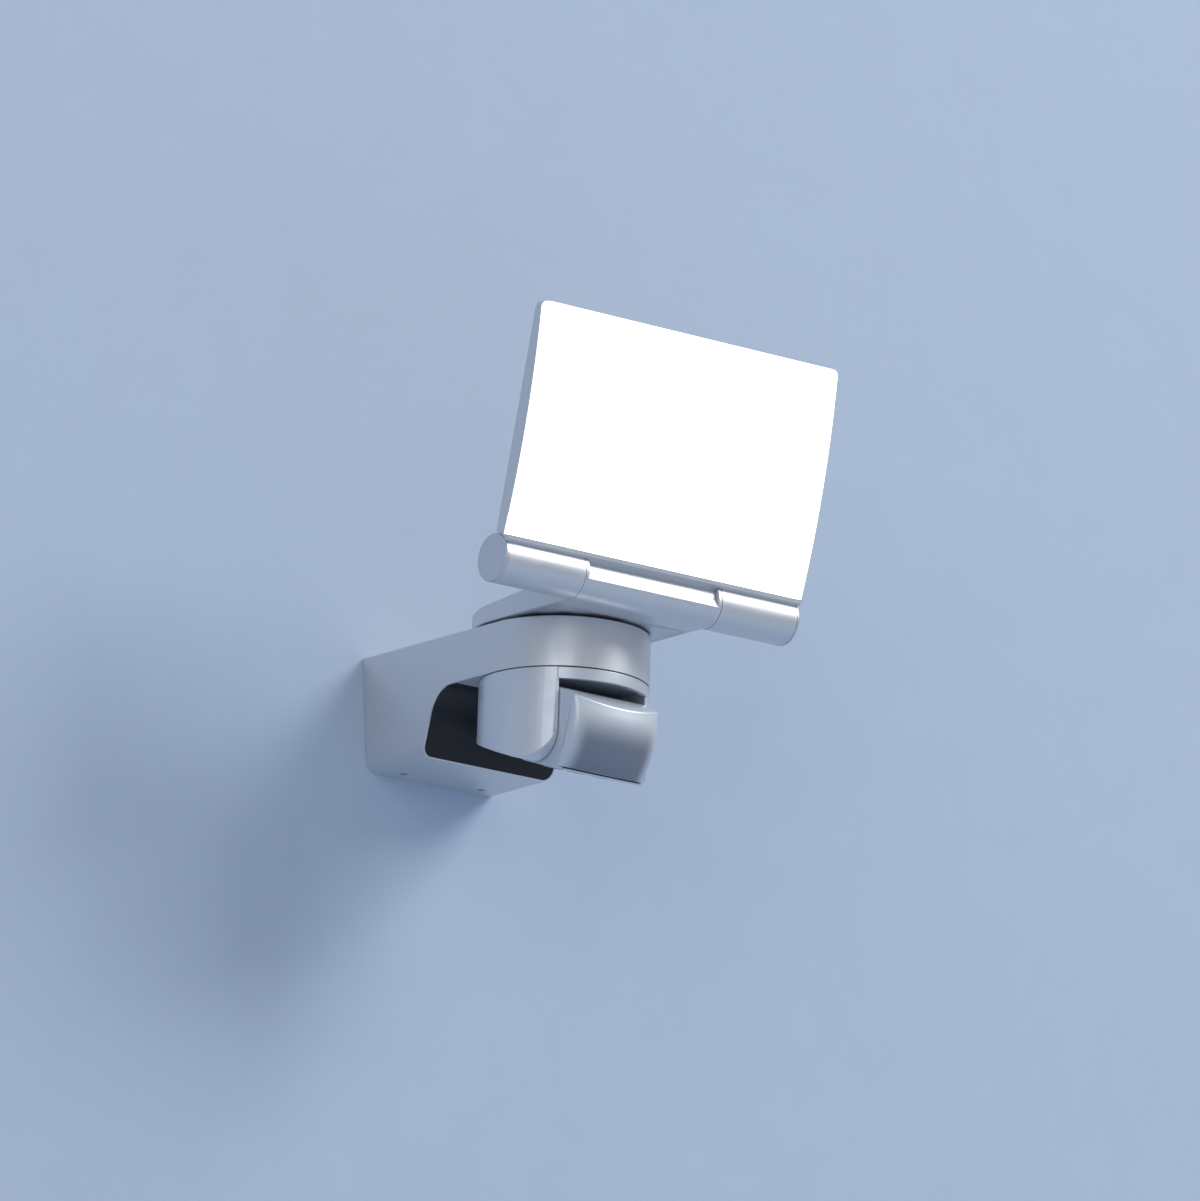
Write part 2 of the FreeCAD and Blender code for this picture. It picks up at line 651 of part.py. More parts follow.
def make_lamp_housing():
    seat = "(diffuser_depth + fit_gap)"
    foot = "(diffuser_foot - fit_gap)"
    panel = side_prism("panel", [leaned("0", "panel_thick_low"), hinge_point("0.8 * barrel_radius", "32"),
                                 leaned("0", "0"), leaned(foot, "0"), leaned(foot, seat),
                                 leaned(PANEL_LONG, seat) + ("panel_front_radius", 1),
                                 leaned(PANEL_LONG, "panel_thick_top")], "2 * lamp_half")
    panel = round_top_corners("panel_round", panel)
    low, high = "panel_sole", f"({PANEL_LONG} - panel_skin)"
    front = "-panel_sole"
    room = side_prism("panel_room", [leaned(low, back_depth(low, "panel_back")), leaned(low, front),
                                     leaned(high, front), leaned(high, back_depth(high, "panel_back"))],
                      "2 * (lamp_half - panel_skin)")
    inner_half = f"({EAR_IN} - fit_gap)"
    ear_slots = barrel_pair("ear_slot", "barrel_radius + fit_gap", inner_half, "head_half")
    saddle_way = hinge_rod("saddle_way", "barrel_radius + fit_gap", f"2 * {EAR_IN}")
    root, tip = f"({SADDLE} - fit_gap - web_rise)", "(barrel_radius + web_rise)"
    heel = "(barrel_radius + web_rise / 2)"
    web = side_prism("web", [hinge_point(root, "32"), hinge_point(tip, "32"), hinge_point(heel, "50"),
                             hinge_point(f"{tip} + web_rise", "60"), hinge_point(tip, "76"),
                             hinge_point(root, "76")], f"2 * {inner_half}")
    cap_face = "(lamp_half - cap_thick)"
    barrels = barrel_pair("barrel", "barrel_radius", "head_half", cap_face)
    bores = barrel_pair("barrel_bore", "barrel_radius - barrel_wall", "head_half + end_wall",
                        f"lamp_half + {OVER}")
    core = hinge_rod("core", f"{SADDLE} - fit_gap", f"2 * {inner_half}")
    axle_way = hinge_rod("axle_way", "axle_radius + run_gap", f"2 * (head_half + end_wall + {OVER})")
    strip = slab("rib_strip", "rib_low", f"({PANEL_LONG} - rib_top)", "panel_back / 2", "-rib_height",
                 "rib_count * rib_pitch")
    ribs = common("ribs", strip, comb("rib_comb", SIZES["rib_count"], "rib_pitch", "rib_thick"))
    open_panel = cut("panel_open", panel, saddle_way, room, *ear_slots)
    whole = fuse("lamp_body", open_panel, web, core, ribs, *barrels)
    cap_cut = barrel_pair("cap_way", "barrel_radius + cap_play", cap_face, f"lamp_half + {OVER}")
    node("lamp_housing", cut("lamp_housing_cut", whole, axle_way, *cap_cut, *bores))


def make_diffuser():
    foot, deep = "diffuser_foot", "diffuser_depth"
    outer = side_prism("diffuser_outer", [leaned(foot, "0"),
                                          leaned(PANEL_LONG, "0") + ("panel_front_radius", 1),
                                          leaned(PANEL_LONG, deep),
                                          leaned(foot, deep) + ("panel_front_radius", -1)], "2 * lamp_half")
    outer = round_top_corners("diffuser_round", outer)
    low, high = "(diffuser_foot + diffuser_skin)", f"({PANEL_LONG} - diffuser_skin)"
    open_back = "(2 * panel_thick_low)"
    inner = side_prism("diffuser_inner", [leaned(low, "diffuser_skin"),
                                          leaned(high, "diffuser_skin") + ("panel_front_radius", 1),
                                          leaned(high, open_back), leaned(low, open_back)],
                       "2 * (lamp_half - diffuser_skin)")
    node("diffuser", cut("diffuser_cut", outer, inner))


def make_lamp_inside():
    back = "panel_back"
    face = f"({back} + lamp_board_thick)"
    node("led_board", slab("led_plate", "lamp_board_low", LAMP_BOARD_HIGH, face, back, LAMP_BOARD_WIDE))
    middle = f"((lamp_board_low + {LAMP_BOARD_HIGH}) / 2)"
    rows = []
    for row in range(SIZES["chip_rows"]):
        low = f"({middle} + chip_pitch * {row - (SIZES['chip_rows'] - 1) / 2} - chip_side / 2)"
        rows.append(slab("chip_row", low, f"({low} + chip_side)", f"{face} + chip_thick", face,
                         LAMP_BOARD_WIDE))
    columns = comb("chip_comb", SIZES["chip_columns"], "chip_pitch", "chip_side")
    node("led_chips", common("chips", fuse("chip_rows", *rows), columns))


def make_hinge():
    wall = "(head_half + end_wall)"
    node("hinge_axle", hinge_rod("axle", "axle_radius", f"2 * ({wall} + hinge_nut_thick + axle_proud)"))
    nuts = [hexagon("hinge_nut", "hinge_nut_across", "hinge_nut_thick", x=x, y=f"-{HINGE_OUT}", z=HINGE_UP,
                    along="x") for x in (wall, f"-({wall} + hinge_nut_thick)")]
    nut_way = hinge_rod("nut_way", "axle_radius", FAR)
    node("hinge_nuts", cut("hinge_nuts_cut", fuse("nut_pair", *nuts), nut_way))
    caps = barrel_pair("cap", "barrel_radius", "(lamp_half - cap_thick)", "lamp_half")
    node("end_caps", group("cap_pair", caps))


def underside(ahead, lift="0"):
    """A point on the sensor mount's underside, so far ahead of the upright axis."""
    start = "(cheek_front - cheek_corner - cheek_corner * sin(cheek_slope))"
    up = "(-(cheek_low - cheek_corner) - cheek_corner * cos(cheek_slope))"
    return f"(pan_reach + ({ahead}))", f"({up} + tan(cheek_slope) * ({start} - ({ahead})) + ({lift}))"


def make_sensor_mount():
    start = "(cheek_front - cheek_corner - cheek_corner * sin(cheek_slope))"
    rear = f"(-sensor_radius - {OVER})"
    front = "(pan_reach + cheek_front)"
    side = side_prism("mount_side", [(f"(pan_reach + {rear})", SENSOR_TOP), underside(rear), underside(start),
                                     (front, "-(cheek_low - cheek_corner)", "cheek_corner", 1),
                                     (front, SENSOR_TOP)], FAR)
    form = common("mount_form", side,
                  rod("mount_round", "sensor_radius", FAR, y="-pan_reach", z=f"{SENSOR_TOP} - {FAR}"))
    roof = f"({SENSOR_TOP} - roof_thick)"
    slot = block("head_slot", "2 * cheek_gap", FAR, FAR, y=f"-({TILT_OUT} - head_round - head_room)",
                 z=f"{roof} - {FAR}")
    wall = "(band_thick / cos(cheek_slope))"
    hollow = side_prism("mount_room_side", [("pan_reach", roof), (f"(pan_reach + {rear})", roof),
                                            underside(rear, wall), underside("0", wall)], "2 * cheek_gap")
    room = common("mount_room", hollow, rod("mount_room_round", "sensor_radius - band_thick", FAR,
                                            y="-pan_reach", z=f"{roof} - {FAR}"))
    over_floor = f"({FLOOR_TOP} + run_gap)"
    spigot = rod("sensor_spigot", "sensor_spigot", f"{over_floor} + sensor_nut_thick + spigot_proud - {roof}",
                 y="-pan_reach", z=roof)
    bore = rod("sensor_bore", "sensor_bore", FAR, y="-pan_reach", z=f"{roof} - {OVER}")
    pins = pin_pair("pin_bore", "pin_radius + run_gap", f"cheek_gap - {OVER}",
                    "cheek_gap + pin_seat + fit_gap")
    node("sensor_yoke", cut("yoke_cut", fuse("yoke_body", form, spigot), slot, room, bore, *pins))
    disc = rod("band_round", "sensor_radius", "band_height", y="-pan_reach", z=BAND_LOW)
    under_band = rod("band_hollow", "sensor_radius - band_thick", f"{roof} + roof_thick / 3 + {FAR}",
                     y="-pan_reach", z=f"-{FAR}")
    limits = block("band_limit", FAR, FAR, FAR, y="-(pan_reach + cheek_front + fit_gap / 2)", z=f"-{FAR} / 2")
    node("front_band", common("band_front", cut("band_cut", disc, under_band), limits))
    nut = hexagon("sensor_nut_block", "2 * (sensor_spigot + nut_wall)", "sensor_nut_thick", y="-pan_reach",
                  z=over_floor)
    nut_way = rod("sensor_nut_way", "sensor_spigot", FAR, y="-pan_reach")
    node("sensor_nut", cut("sensor_nut_cut", nut, nut_way))


def pin_pair(name, radius, start, end):
    """Two like cylinders on the sensor's tilt axis, one on each side."""
    return [rod(name, radius, f"({end}) - ({start})", x=x, y=f"-{TILT_OUT}", z=TILT_UP, along="x")
            for x in (start, f"-({end})")]


def tilted(item):
    """A piece drawn level about the tilt axis, set at the photographed tilt."""
    return bind(item, Placement__Base__y=f"-{TILT_OUT}", Placement__Base__z=TILT_UP,
                Placement__Rotation__Axis__x="1", Placement__Rotation__Axis__y="0",
                Placement__Rotation__Axis__z="0", Placement__Rotation__Angle="rest_tilt")


def bulge(name, more):
    """The space behind the sensor's curved front, moulded in level bands and moved forwards by an amount."""
    arch = f"(front_arch + ({more}))"
    middle = f"(front_bow + ({more}) - {arch})"
    half_turn = value(f"asin(front_half / {arch}) / (1 deg)")
    turns = [half_turn * (2 * band / SIZES["front_bands"] - 1) for band in range(SIZES["front_bands"] + 1)]
    line = [(f"({middle} + {arch} * cos({angle}))", f"{arch} * sin({angle})") for angle in turns]
    return turned(name, [("0", line[0][1])] + line + [("0", line[-1][1])], y="front_bow - front_reach")


def head_side(name, inset, width):
    """The sensor head's side view, drawn in by an inset and open to the front."""
    edge = f"(head_round - ({inset}))"
    brow = f"(brow_radius - ({inset}))"
    ahead = f"(front_reach + 4 * {OVER})"
    fall = f"({brow} - sqrt({brow} * {brow} - ({ahead} - brow_start) * ({ahead} - brow_start)))"
    steps = [("0", edge), (f"-{edge}", "0", edge, 1), ("0", f"-{edge}", edge, 1), (ahead, f"-{edge}"),
             (ahead, f"{edge} - {fall}"), ("brow_start", edge, brow, 1)]
    return side_prism(name, steps, width)


def make_sensor_head():
    form = common("head_form", head_side("head_outer", "0", "2 * head_wide"), bulge("head_front", "0"))
    split = "(-(head_round - lid_thick - lid_slit))"
    seam = "-lens_seam"
    half = f"({FAR} / 2)"
    pocket = block("lens_pocket", "2 * lens_pocket_half", "lens_pocket_reach - lens_seam",
                   "2 * lens_pocket_half", y=seam, z="-lens_pocket_half")
    front = common("lens_front", form, block("lens_limit", FAR, FAR, FAR, y=seam, z=split))
    node("sensor_lens", tilted(cut("lens_cut", front, pocket)))
    lid_half = "(head_wide - shell_skin - fit_gap)"
    back = common("shell_back", form,
                  block("shell_limit", FAR, f"{half} + lens_seam", FAR, y=half, z=f"-{half}"))
    corners = common("shell_corners", form, block("corner_limit", FAR, FAR, FAR, y=half,
                                                  z=f"{split} - fit_gap - {FAR}"))
    room = head_side("head_room", "shell_skin", "2 * (head_wide - shell_skin)")
    opening = block("lid_opening", f"2 * ({lid_half} + fit_gap)", FAR, FAR, y="lid_back",
                    z=f"-(head_round - shell_skin) + fit_gap - {FAR}")
    pin_way = rod("head_pin_bore", "pin_radius", FAR, x=f"-{half}", along="x")
    node("head_shell", tilted(cut("shell_cut", fuse("shell_form", back, corners), room, opening, pin_way)))
    lid_edge = "lid_back - fit_gap"
    low = common("lid_low", common("lid_plate", head_side("lid_side", "0", f"2 * {lid_half}"),
                                   bulge("lid_front", "lid_lip")),
                 block("lid_limit", FAR, FAR, "lid_thick", y=lid_edge, z="-head_round"))
    seat = block("lid_seat", f"2 * {lid_half}", "lid_seat_run", "shell_skin - lid_thick", y=lid_edge,
                 z="-(head_round - lid_thick)")
    node("head_lid", tilted(fuse("lid_body", low, seat)))
    deck = "(-head_round + shell_skin)"
    parts = [block("setting_plate", f"2 * {lid_half}", "setting_deep", "board_thick",
                   y="pot_side / 4 - dial_ahead", z=f"{deck} + pot_tall")]
    knob_foot = "(-(head_round + run_gap + dial_thick))"
    for side, name in ((-1, "dial_time"), (0, "dial_light"), (1, "dial_range")):
        x = f"{side} * dial_pitch"
        parts.append(block("pot", "pot_side", "pot_side", "pot_tall", x=x, y="pot_side / 2 - dial_ahead",
                           z=deck))
        knob = rod(name + "_knob", "dial_radius", "dial_thick", x=x, y="-dial_ahead", z=knob_foot)
        slot = block(name + "_slot", "2 * (dial_radius - dial_slot)", "dial_slot", f"dial_slot_deep + {OVER}",
                     x=x, y="dial_slot / 2 - dial_ahead", z=f"{knob_foot} - {OVER}")
        node(name, tilted(cut(name + "_cut", knob, slot)))
    node("setting_board", tilted(fuse("setting_body", *parts)))
    stand = block("sensor_plate", f"2 * {lid_half}", "board_thick", "2 * sensor_board_half",
                  y="-(sensor_board_at - board_thick)", z="-sensor_board_half")
    notches = [block("sensor_notch", "board_notch", "board_notch", "board_notch", x=f"{side} * {lid_half}",
                     y="-(sensor_board_at - board_notch)", z="-board_notch / 2") for side in (-1, 1)]
    node("sensor_board", tilted(cut("sensor_board_cut", stand, *notches)))
    can = rod("detector_can", "detector_radius", "detector_length", y="-sensor_board_at", along="y")
    node("detector", tilted(group("detector_body", [can])))
    pins = pin_pair("pin", "pin_radius", "head_wide - shell_skin - pin_inside", "cheek_gap + pin_seat")
    node("tilt_pins", fuse("tilt_pin_pair", *pins))


def finish():
    """Check every object and write each named piece."""
    doc.recompute()
    for item in doc.Objects:
        if "Invalid" in item.State or "Error" in item.State:
            raise RuntimeError(f"{item.Name} ({item.Label}) failed: {item.State}")
    os.makedirs("parts", exist_ok=True)
    for name, item in NODES.items():
        shape = item.Shape
        if shape.isNull() or not shape.isValid() or shape.Volume <= 0:
            raise RuntimeError(f"{name} has no valid solid")
        shape.exportStep(f"parts/{name}.step")
        print(f"{name}: {len(shape.Solids)} solid, {shape.Volume / 1000:.2f} cm3")


make_housing()
make_recess_cover()
make_wall_plate()
make_terminals()
make_driver()
make_pan_head()
make_lamp_housing()
make_diffuser()
make_lamp_inside()
make_hinge()
make_sensor_mount()
make_sensor_head()
finish()
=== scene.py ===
"""The looks of a wall-mounted motion sensor floodlight, laid out as an add-on. Lengths are in metres."""

import json
import math

import bmesh
import bpy
from bpy.props import FloatProperty, FloatVectorProperty, PointerProperty
from mathutils import Euler, Matrix, Vector


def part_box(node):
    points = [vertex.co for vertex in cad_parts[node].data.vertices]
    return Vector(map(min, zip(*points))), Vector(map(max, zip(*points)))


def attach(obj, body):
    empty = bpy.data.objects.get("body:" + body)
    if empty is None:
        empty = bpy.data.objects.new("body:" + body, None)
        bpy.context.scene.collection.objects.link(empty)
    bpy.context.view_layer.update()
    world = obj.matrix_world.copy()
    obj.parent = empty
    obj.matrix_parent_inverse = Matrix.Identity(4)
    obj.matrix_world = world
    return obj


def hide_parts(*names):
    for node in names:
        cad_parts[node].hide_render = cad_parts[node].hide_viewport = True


bl_info = {
    "name": "Motion sensor floodlight",
    "version": (1, 0, 0),
    "blender": (4, 5, 0),
    "location": "View3D > Sidebar > Floodlight",
    "description": "Finishes the floodlight's pieces and sets it on a wall in soft light",
    "category": "Object",
}

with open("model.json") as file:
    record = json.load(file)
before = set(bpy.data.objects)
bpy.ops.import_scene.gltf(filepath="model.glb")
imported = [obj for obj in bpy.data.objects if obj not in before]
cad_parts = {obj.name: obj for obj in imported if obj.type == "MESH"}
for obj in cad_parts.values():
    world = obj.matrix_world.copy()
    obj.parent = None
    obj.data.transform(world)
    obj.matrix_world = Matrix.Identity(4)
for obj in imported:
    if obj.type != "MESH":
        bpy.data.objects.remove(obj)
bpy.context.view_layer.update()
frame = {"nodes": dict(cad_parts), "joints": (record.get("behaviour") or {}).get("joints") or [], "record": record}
NODES = frame["nodes"]
JOINTS = {joint["name"]: joint for joint in frame["joints"]}
BODY_OF = {node: body for body, members in frame["record"]["behaviour"]["bodies"].items() for node in members}
SLOT_OF = {part["node"]: part["material_slot"] for part in frame["record"]["subparts"]}
SLOT_COLOUR = {slot["slot"]: slot["base_color"] for slot in frame["record"]["materials"]}

MM = 0.001
TOUCH = 0.02 * MM

# the camera that took the photograph: where it looks, from how far and at which angles
CAMERA_TARGET = Vector((26.0, -100.0, 52.7)) * MM
CAMERA_DISTANCE = 5.08
CAMERA_AZIMUTH = math.radians(-37.0)
CAMERA_ELEVATION = math.radians(-14.4)
CAMERA_ROLL = math.radians(1.9)
FOCAL_PIXELS = 10300
IMAGE_LONG_SIDE = 1201
SENSOR_WIDTH = 36.0

# the sensor head: its tilt axis, its own up and ahead, and the curve of its front
HEAD_PIVOT = Vector(JOINTS["sensor_tilt"]["pos_m"])
HEAD_UP = Vector(JOINTS["light_turn"]["axis"])
HEAD_AHEAD = Vector((1, 0, 0)).cross(HEAD_UP)
HEAD_FRAME = Matrix.Translation(HEAD_PIVOT) @ Matrix((Vector((1, 0, 0)), -HEAD_AHEAD, HEAD_UP)).transposed().to_4x4()
HEAD_HALF = 25.9 * MM
HEAD_ROUND = 19.4 * MM
BROW_START = 13.0 * MM
BROW_RADIUS = 60.0 * MM
FRONT_BOW = 65.3 * MM
FRONT_ARCH = 37.8 * MM
FRONT_REACH = 37.2 * MM
LENS_SEAM = 26.5 * MM
LENS_BOTTOM = -17.8 * MM
LENS_SKIN = 0.9 * MM
CORNER_REST = 0.3 * MM
LID_LIP = 1.0 * MM

PAN_AXIS = Vector(JOINTS["head_pan"]["pos_m"])
HINGE = Vector(JOINTS["lamp_tilt"]["pos_m"])
LUG_BESIDE = 24 * MM
LUG_OUT = 9.5 * MM
DIALS = {"time_turn": "dial_time", "light_turn": "dial_light", "range_turn": "dial_range"}


# Settings that a user would change.

class FloodlightColours(bpy.types.PropertyGroup):
    paint: FloatVectorProperty(name="Silver paint", description="Colour of the painted castings", subtype="COLOR",
                               size=3, min=0.0, max=1.0, default=SLOT_COLOUR["silver_cast"])
    plastic: FloatVectorProperty(name="Silver plastic", description="Colour of the sensor's mouldings",
                                 subtype="COLOR", size=3, min=0.0, max=1.0, default=SLOT_COLOUR["silver_plastic"])
    lens: FloatVectorProperty(name="Lens", description="Colour of the sensor's front", subtype="COLOR", size=3,
                              min=0.0, max=1.0, default=SLOT_COLOUR["lens_grey"])
    cover: FloatVectorProperty(name="Cover", description="Colour of the cover under the arm", subtype="COLOR",
                               size=3, min=0.0, max=1.0, default=SLOT_COLOUR["black_cover"])
    light: FloatVectorProperty(name="Light", description="Colour of the lit panel", subtype="COLOR", size=3,
                               min=0.0, max=1.0, default=(1.0, 0.995, 0.985))


class FloodlightSizes(bpy.types.PropertyGroup):
    casting_edge: FloatProperty(name="Casting edge", description="Rounding of the castings' outer edges",
                                default=0.9 * MM, min=0.1 * MM, max=2 * MM, unit="LENGTH", precision=5)
    fine_edge: FloatProperty(name="Fine edge", description="Rounding of the edges that stay crisp",
                             default=0.15 * MM, min=0.02 * MM, max=0.5 * MM, unit="LENGTH", precision=5)
    panel_edge: FloatProperty(name="Panel edge", description="Rounding of the diffuser's front edge",
                              default=0.9 * MM, min=0.1 * MM, max=1.5 * MM, unit="LENGTH", precision=5)
    head_edge: FloatProperty(name="Sensor edge", description="Rounding along the sensor's sides and top",
                             default=1.1 * MM, min=0.9 * MM, max=2 * MM, unit="LENGTH", precision=5)
    head_corner: FloatProperty(name="Sensor corner", description="Rounding of the sensor's upright front corners",
                               default=3.0 * MM, min=1 * MM, max=5 * MM, unit="LENGTH", precision=5)
    dial_share: FloatProperty(name="Dial height", description="Share of the dials' height that stands proud",
                              default=0.3, min=0.1, max=1.0, subtype="FACTOR")


class FloodlightStage(bpy.types.PropertyGroup):
    wall: FloatVectorProperty(name="Wall", description="Colour of the wall and the floor", subtype="COLOR", size=3,
                              min=0.0, max=1.0, default=(0.50, 0.59, 0.73))
    floor_drop: FloatProperty(name="Floor drop", description="How far the floor lies below the light",
                              default=1.6, min=0.3, max=4.0, unit="LENGTH")
    sky: FloatProperty(name="Surrounding light", description="Strength of the even light from all round",
                       default=0.42, min=0.0, max=2.0)
    key: FloatProperty(name="Main lamp", description="Power of the large soft lamp", default=125.0, min=0.0,
                       max=1000.0, subtype="POWER")
    fill: FloatProperty(name="Fill lamp", description="Power of the lower soft lamp", default=30.0, min=0.0,
                        max=1000.0, subtype="POWER")
    glow: FloatProperty(name="Panel glow", description="Emission strength of the lit panel", default=1.6, min=0.0,
                        max=20.0)


class FloodlightSettings(bpy.types.PropertyGroup):
    colours: PointerProperty(type=FloodlightColours, name="Colours", description="Colours of the finishes")
    sizes: PointerProperty(type=FloodlightSizes, name="Sizes", description="Roundings of the edges")
    stage: PointerProperty(type=FloodlightStage, name="Stage", description="Wall, floor and light")


# Materials.

def scaled(colour, share):
    return (*[min(1.0, part * share) for part in colour], 1.0)


def noise(tree, scale, detail=2.0, stretch=(1, 1, 1)):
    """Noise in the object's own coordinates, in features a metre, drawn out by a stretch along each axis."""
    place = tree.nodes.new("ShaderNodeTexCoord")
    mapping = tree.nodes.new("ShaderNodeMapping")
    mapping.inputs["Scale"].default_value = stretch
    pattern = tree.nodes.new("ShaderNodeTexNoise")
    pattern.inputs["Scale"].default_value = scale
    pattern.inputs["Detail"].default_value = detail
    tree.links.new(place.outputs["Object"], mapping.inputs["Vector"])
    tree.links.new(mapping.outputs["Vector"], pattern.inputs["Vector"])
    return pattern.outputs["Fac"]


def spread(tree, value, low, high, start=0.3, end=0.7, smooth=False):
    """A value between start and end brought to between low and high."""
    change = tree.nodes.new("ShaderNodeMapRange")
    if smooth:
        change.interpolation_type = "SMOOTHSTEP"
    change.inputs["From Min"].default_value = start
    change.inputs["From Max"].default_value = end
    change.inputs["To Min"].default_value = low
    change.inputs["To Max"].default_value = high
    tree.links.new(value, change.inputs["Value"])
    return change.outputs["Result"]


def blended(tree, share, first, second):
    """Two colours, or colour outputs, mixed by a share."""
    mix = tree.nodes.new("ShaderNodeMix")
    mix.data_type = "RGBA"
    tree.links.new(share, mix.inputs[0])
    for place, colour in ((6, first), (7, second)):
        if isinstance(colour, bpy.types.NodeSocket):
            tree.links.new(colour, mix.inputs[place])
        else:
            mix.inputs[place].default_value = colour
    return mix.outputs[2]


def dented(tree, height, depth, after=None):
    """A surface normal that a height pattern of this depth bends."""
    bump = tree.nodes.new("ShaderNodeBump")
    bump.inputs["Strength"].default_value = 1.0
    bump.inputs["Distance"].default_value = depth
    tree.links.new(height, bump.inputs["Height"])
    if after:
        tree.links.new(after, bump.inputs["Normal"])
    return bump.outputs["Normal"]


def surface(name, colour, roughness, metallic=0.0, drift=0.05, grain=3000.0, depth=0.004 * MM, stretch=(1, 1, 1),
            coat=0.0, gloss_drift=0.06, shine=0.5):
    """A finish whose tone, gloss and fine relief all vary over the piece."""
    material = bpy.data.materials.new(name)
    material.use_nodes = True
    material.diffuse_color = (*colour, 1.0)
    tree = material.node_tree
    shader = tree.nodes["Principled BSDF"]
    shader.inputs["Metallic"].default_value = metallic
    shader.inputs["Coat Weight"].default_value = coat
    shader.inputs["Coat Roughness"].default_value = 0.12
    shader.inputs["Specular IOR Level"].default_value = shine
    broad = noise(tree, 28.0, 3.0)
    fine = noise(tree, grain, 3.0, stretch)
    tone = blended(tree, spread(tree, broad, 0.0, 1.0), scaled(colour, 1 - drift), scaled(colour, 1 + drift))
    tree.links.new(tone, shader.inputs["Base Color"])
    smear = noise(tree, 110.0, 4.0)
    gloss = spread(tree, smear, roughness - gloss_drift, roughness + gloss_drift)
    tree.links.new(gloss, shader.inputs["Roughness"])
    tree.links.new(dented(tree, fine, depth), shader.inputs["Normal"])
    return material


def paint_with_flakes(name, colour, roughness):
    """Satin silver paint: fine bright flakes under a thin clear coat, over slight orange peel."""
    material = surface(name, colour, roughness, metallic=0.62, drift=0.03, grain=700.0, depth=0.006 * MM, coat=0.15)
    tree = material.node_tree
    shader = tree.nodes["Principled BSDF"]
    flakes = tree.nodes.new("ShaderNodeTexVoronoi")
    flakes.inputs["Scale"].default_value = 5200.0
    place = tree.nodes.new("ShaderNodeTexCoord")
    tree.links.new(place.outputs["Object"], flakes.inputs["Vector"])
    sparkle = spread(tree, flakes.outputs["Distance"], 0.0, 1.0, 0.15, 0.75)
    under = shader.inputs["Base Color"].links[0].from_socket
    tree.links.new(blended(tree, sparkle, under, scaled(colour, 0.90)), shader.inputs["Base Color"])
    peel = shader.inputs["Normal"].links[0].from_socket
    tree.links.new(dented(tree, flakes.outputs["Distance"], 0.0012 * MM, peel), shader.inputs["Normal"])
    return material


def brushed_paint(name, colour, roughness):
    """The barrels' finish, with faint lines that run along the hinge."""
    material = surface(name, colour, roughness, metallic=0.75, drift=0.03, grain=1300.0, depth=0.004 * MM,
                       stretch=(0.02, 1, 1), coat=0.1)
    tree = material.node_tree
    shader = tree.nodes["Principled BSDF"]
    lines = noise(tree, 1500.0, 2.0, (0.012, 1, 1))
    under = shader.inputs["Base Color"].links[0].from_socket
    tone = blended(tree, spread(tree, lines, 0.0, 0.5), under, scaled(colour, 0.80))
    tree.links.new(tone, shader.inputs["Base Color"])
    return material


def lens_plastic(name, edge_colour, dark_window_and_reflection_colour, roughness):
    """The sensor's front: darker in the middle and towards the bottom, fading out before the rim and the top; the
    darker tone is partly the lens's own deeper grey and partly painted reflection of the dark surroundings, and the
    lighter top is painted reflection of the sky.
    """
    material = surface(name, dark_window_and_reflection_colour, roughness, metallic=0.40, drift=0.02, grain=700.0, depth=0.002 * MM,
                       coat=0.12, gloss_drift=0.03)
    tree = material.node_tree
    shader = tree.nodes["Principled BSDF"]
    place = tree.nodes.new("ShaderNodeTexCoord")
    mapping = tree.nodes.new("ShaderNodeMapping")
    mapping.vector_type = "TEXTURE"
    mapping.inputs["Location"].default_value = HEAD_PIVOT
    mapping.inputs["Rotation"].default_value = HEAD_FRAME.to_euler()
    tree.links.new(place.outputs["Object"], mapping.inputs["Vector"])
    parts = tree.nodes.new("ShaderNodeSeparateXYZ")
    tree.links.new(mapping.outputs["Vector"], parts.inputs["Vector"])
    size = tree.nodes.new("ShaderNodeMath")
    size.operation = "ABSOLUTE"
    tree.links.new(parts.outputs["X"], size.inputs[0])
    # Painted reflection and shade: the share is full low in the middle of the front and falls to none at the sides
    # and towards the top, so the front is darker below, as if it mirrored the dark ground, and lighter above, as if
    # it mirrored the sky.
    window_and_reflection_fades = [spread(tree, size.outputs[0], 1.0, 0.0, 17 * MM, 25.5 * MM, smooth=True),
                spread(tree, parts.outputs["Z"], 1.0, 0.0, -4 * MM, 13 * MM, smooth=True)]
    inside = tree.nodes.new("ShaderNodeMath")
    inside.operation = "MULTIPLY"
    tree.links.new(window_and_reflection_fades[0], inside.inputs[0])
    tree.links.new(window_and_reflection_fades[1], inside.inputs[1])
    # Painted reflection: the middle and lower front take the darker colour, while the rim and the top keep the
    # plastic's colour.
    under = shader.inputs["Base Color"].links[0].from_socket
    tree.links.new(blended(tree, inside.outputs[0], scaled(edge_colour, 1.0), under), shader.inputs["Base Color"])
    return material


def lit_panel(name, colour, strength):
    """The opal diffuser, lit evenly from behind, with a fine matt grain."""
    material = surface(name, SLOT_COLOUR["opal_white"], 0.45, drift=0.01, grain=2600.0, depth=0.006 * MM)
    shader = material.node_tree.nodes["Principled BSDF"]
    shader.inputs["Emission Color"].default_value = (*colour, 1.0)
    shader.inputs["Emission Strength"].default_value = strength
    return material


def circuit_board(name, colour):
    """Solder mask with faint tracks."""
    material = surface(name, colour, 0.35, drift=0.10, grain=900.0, depth=0.02 * MM, stretch=(1, 0.08, 0.08))
    return material


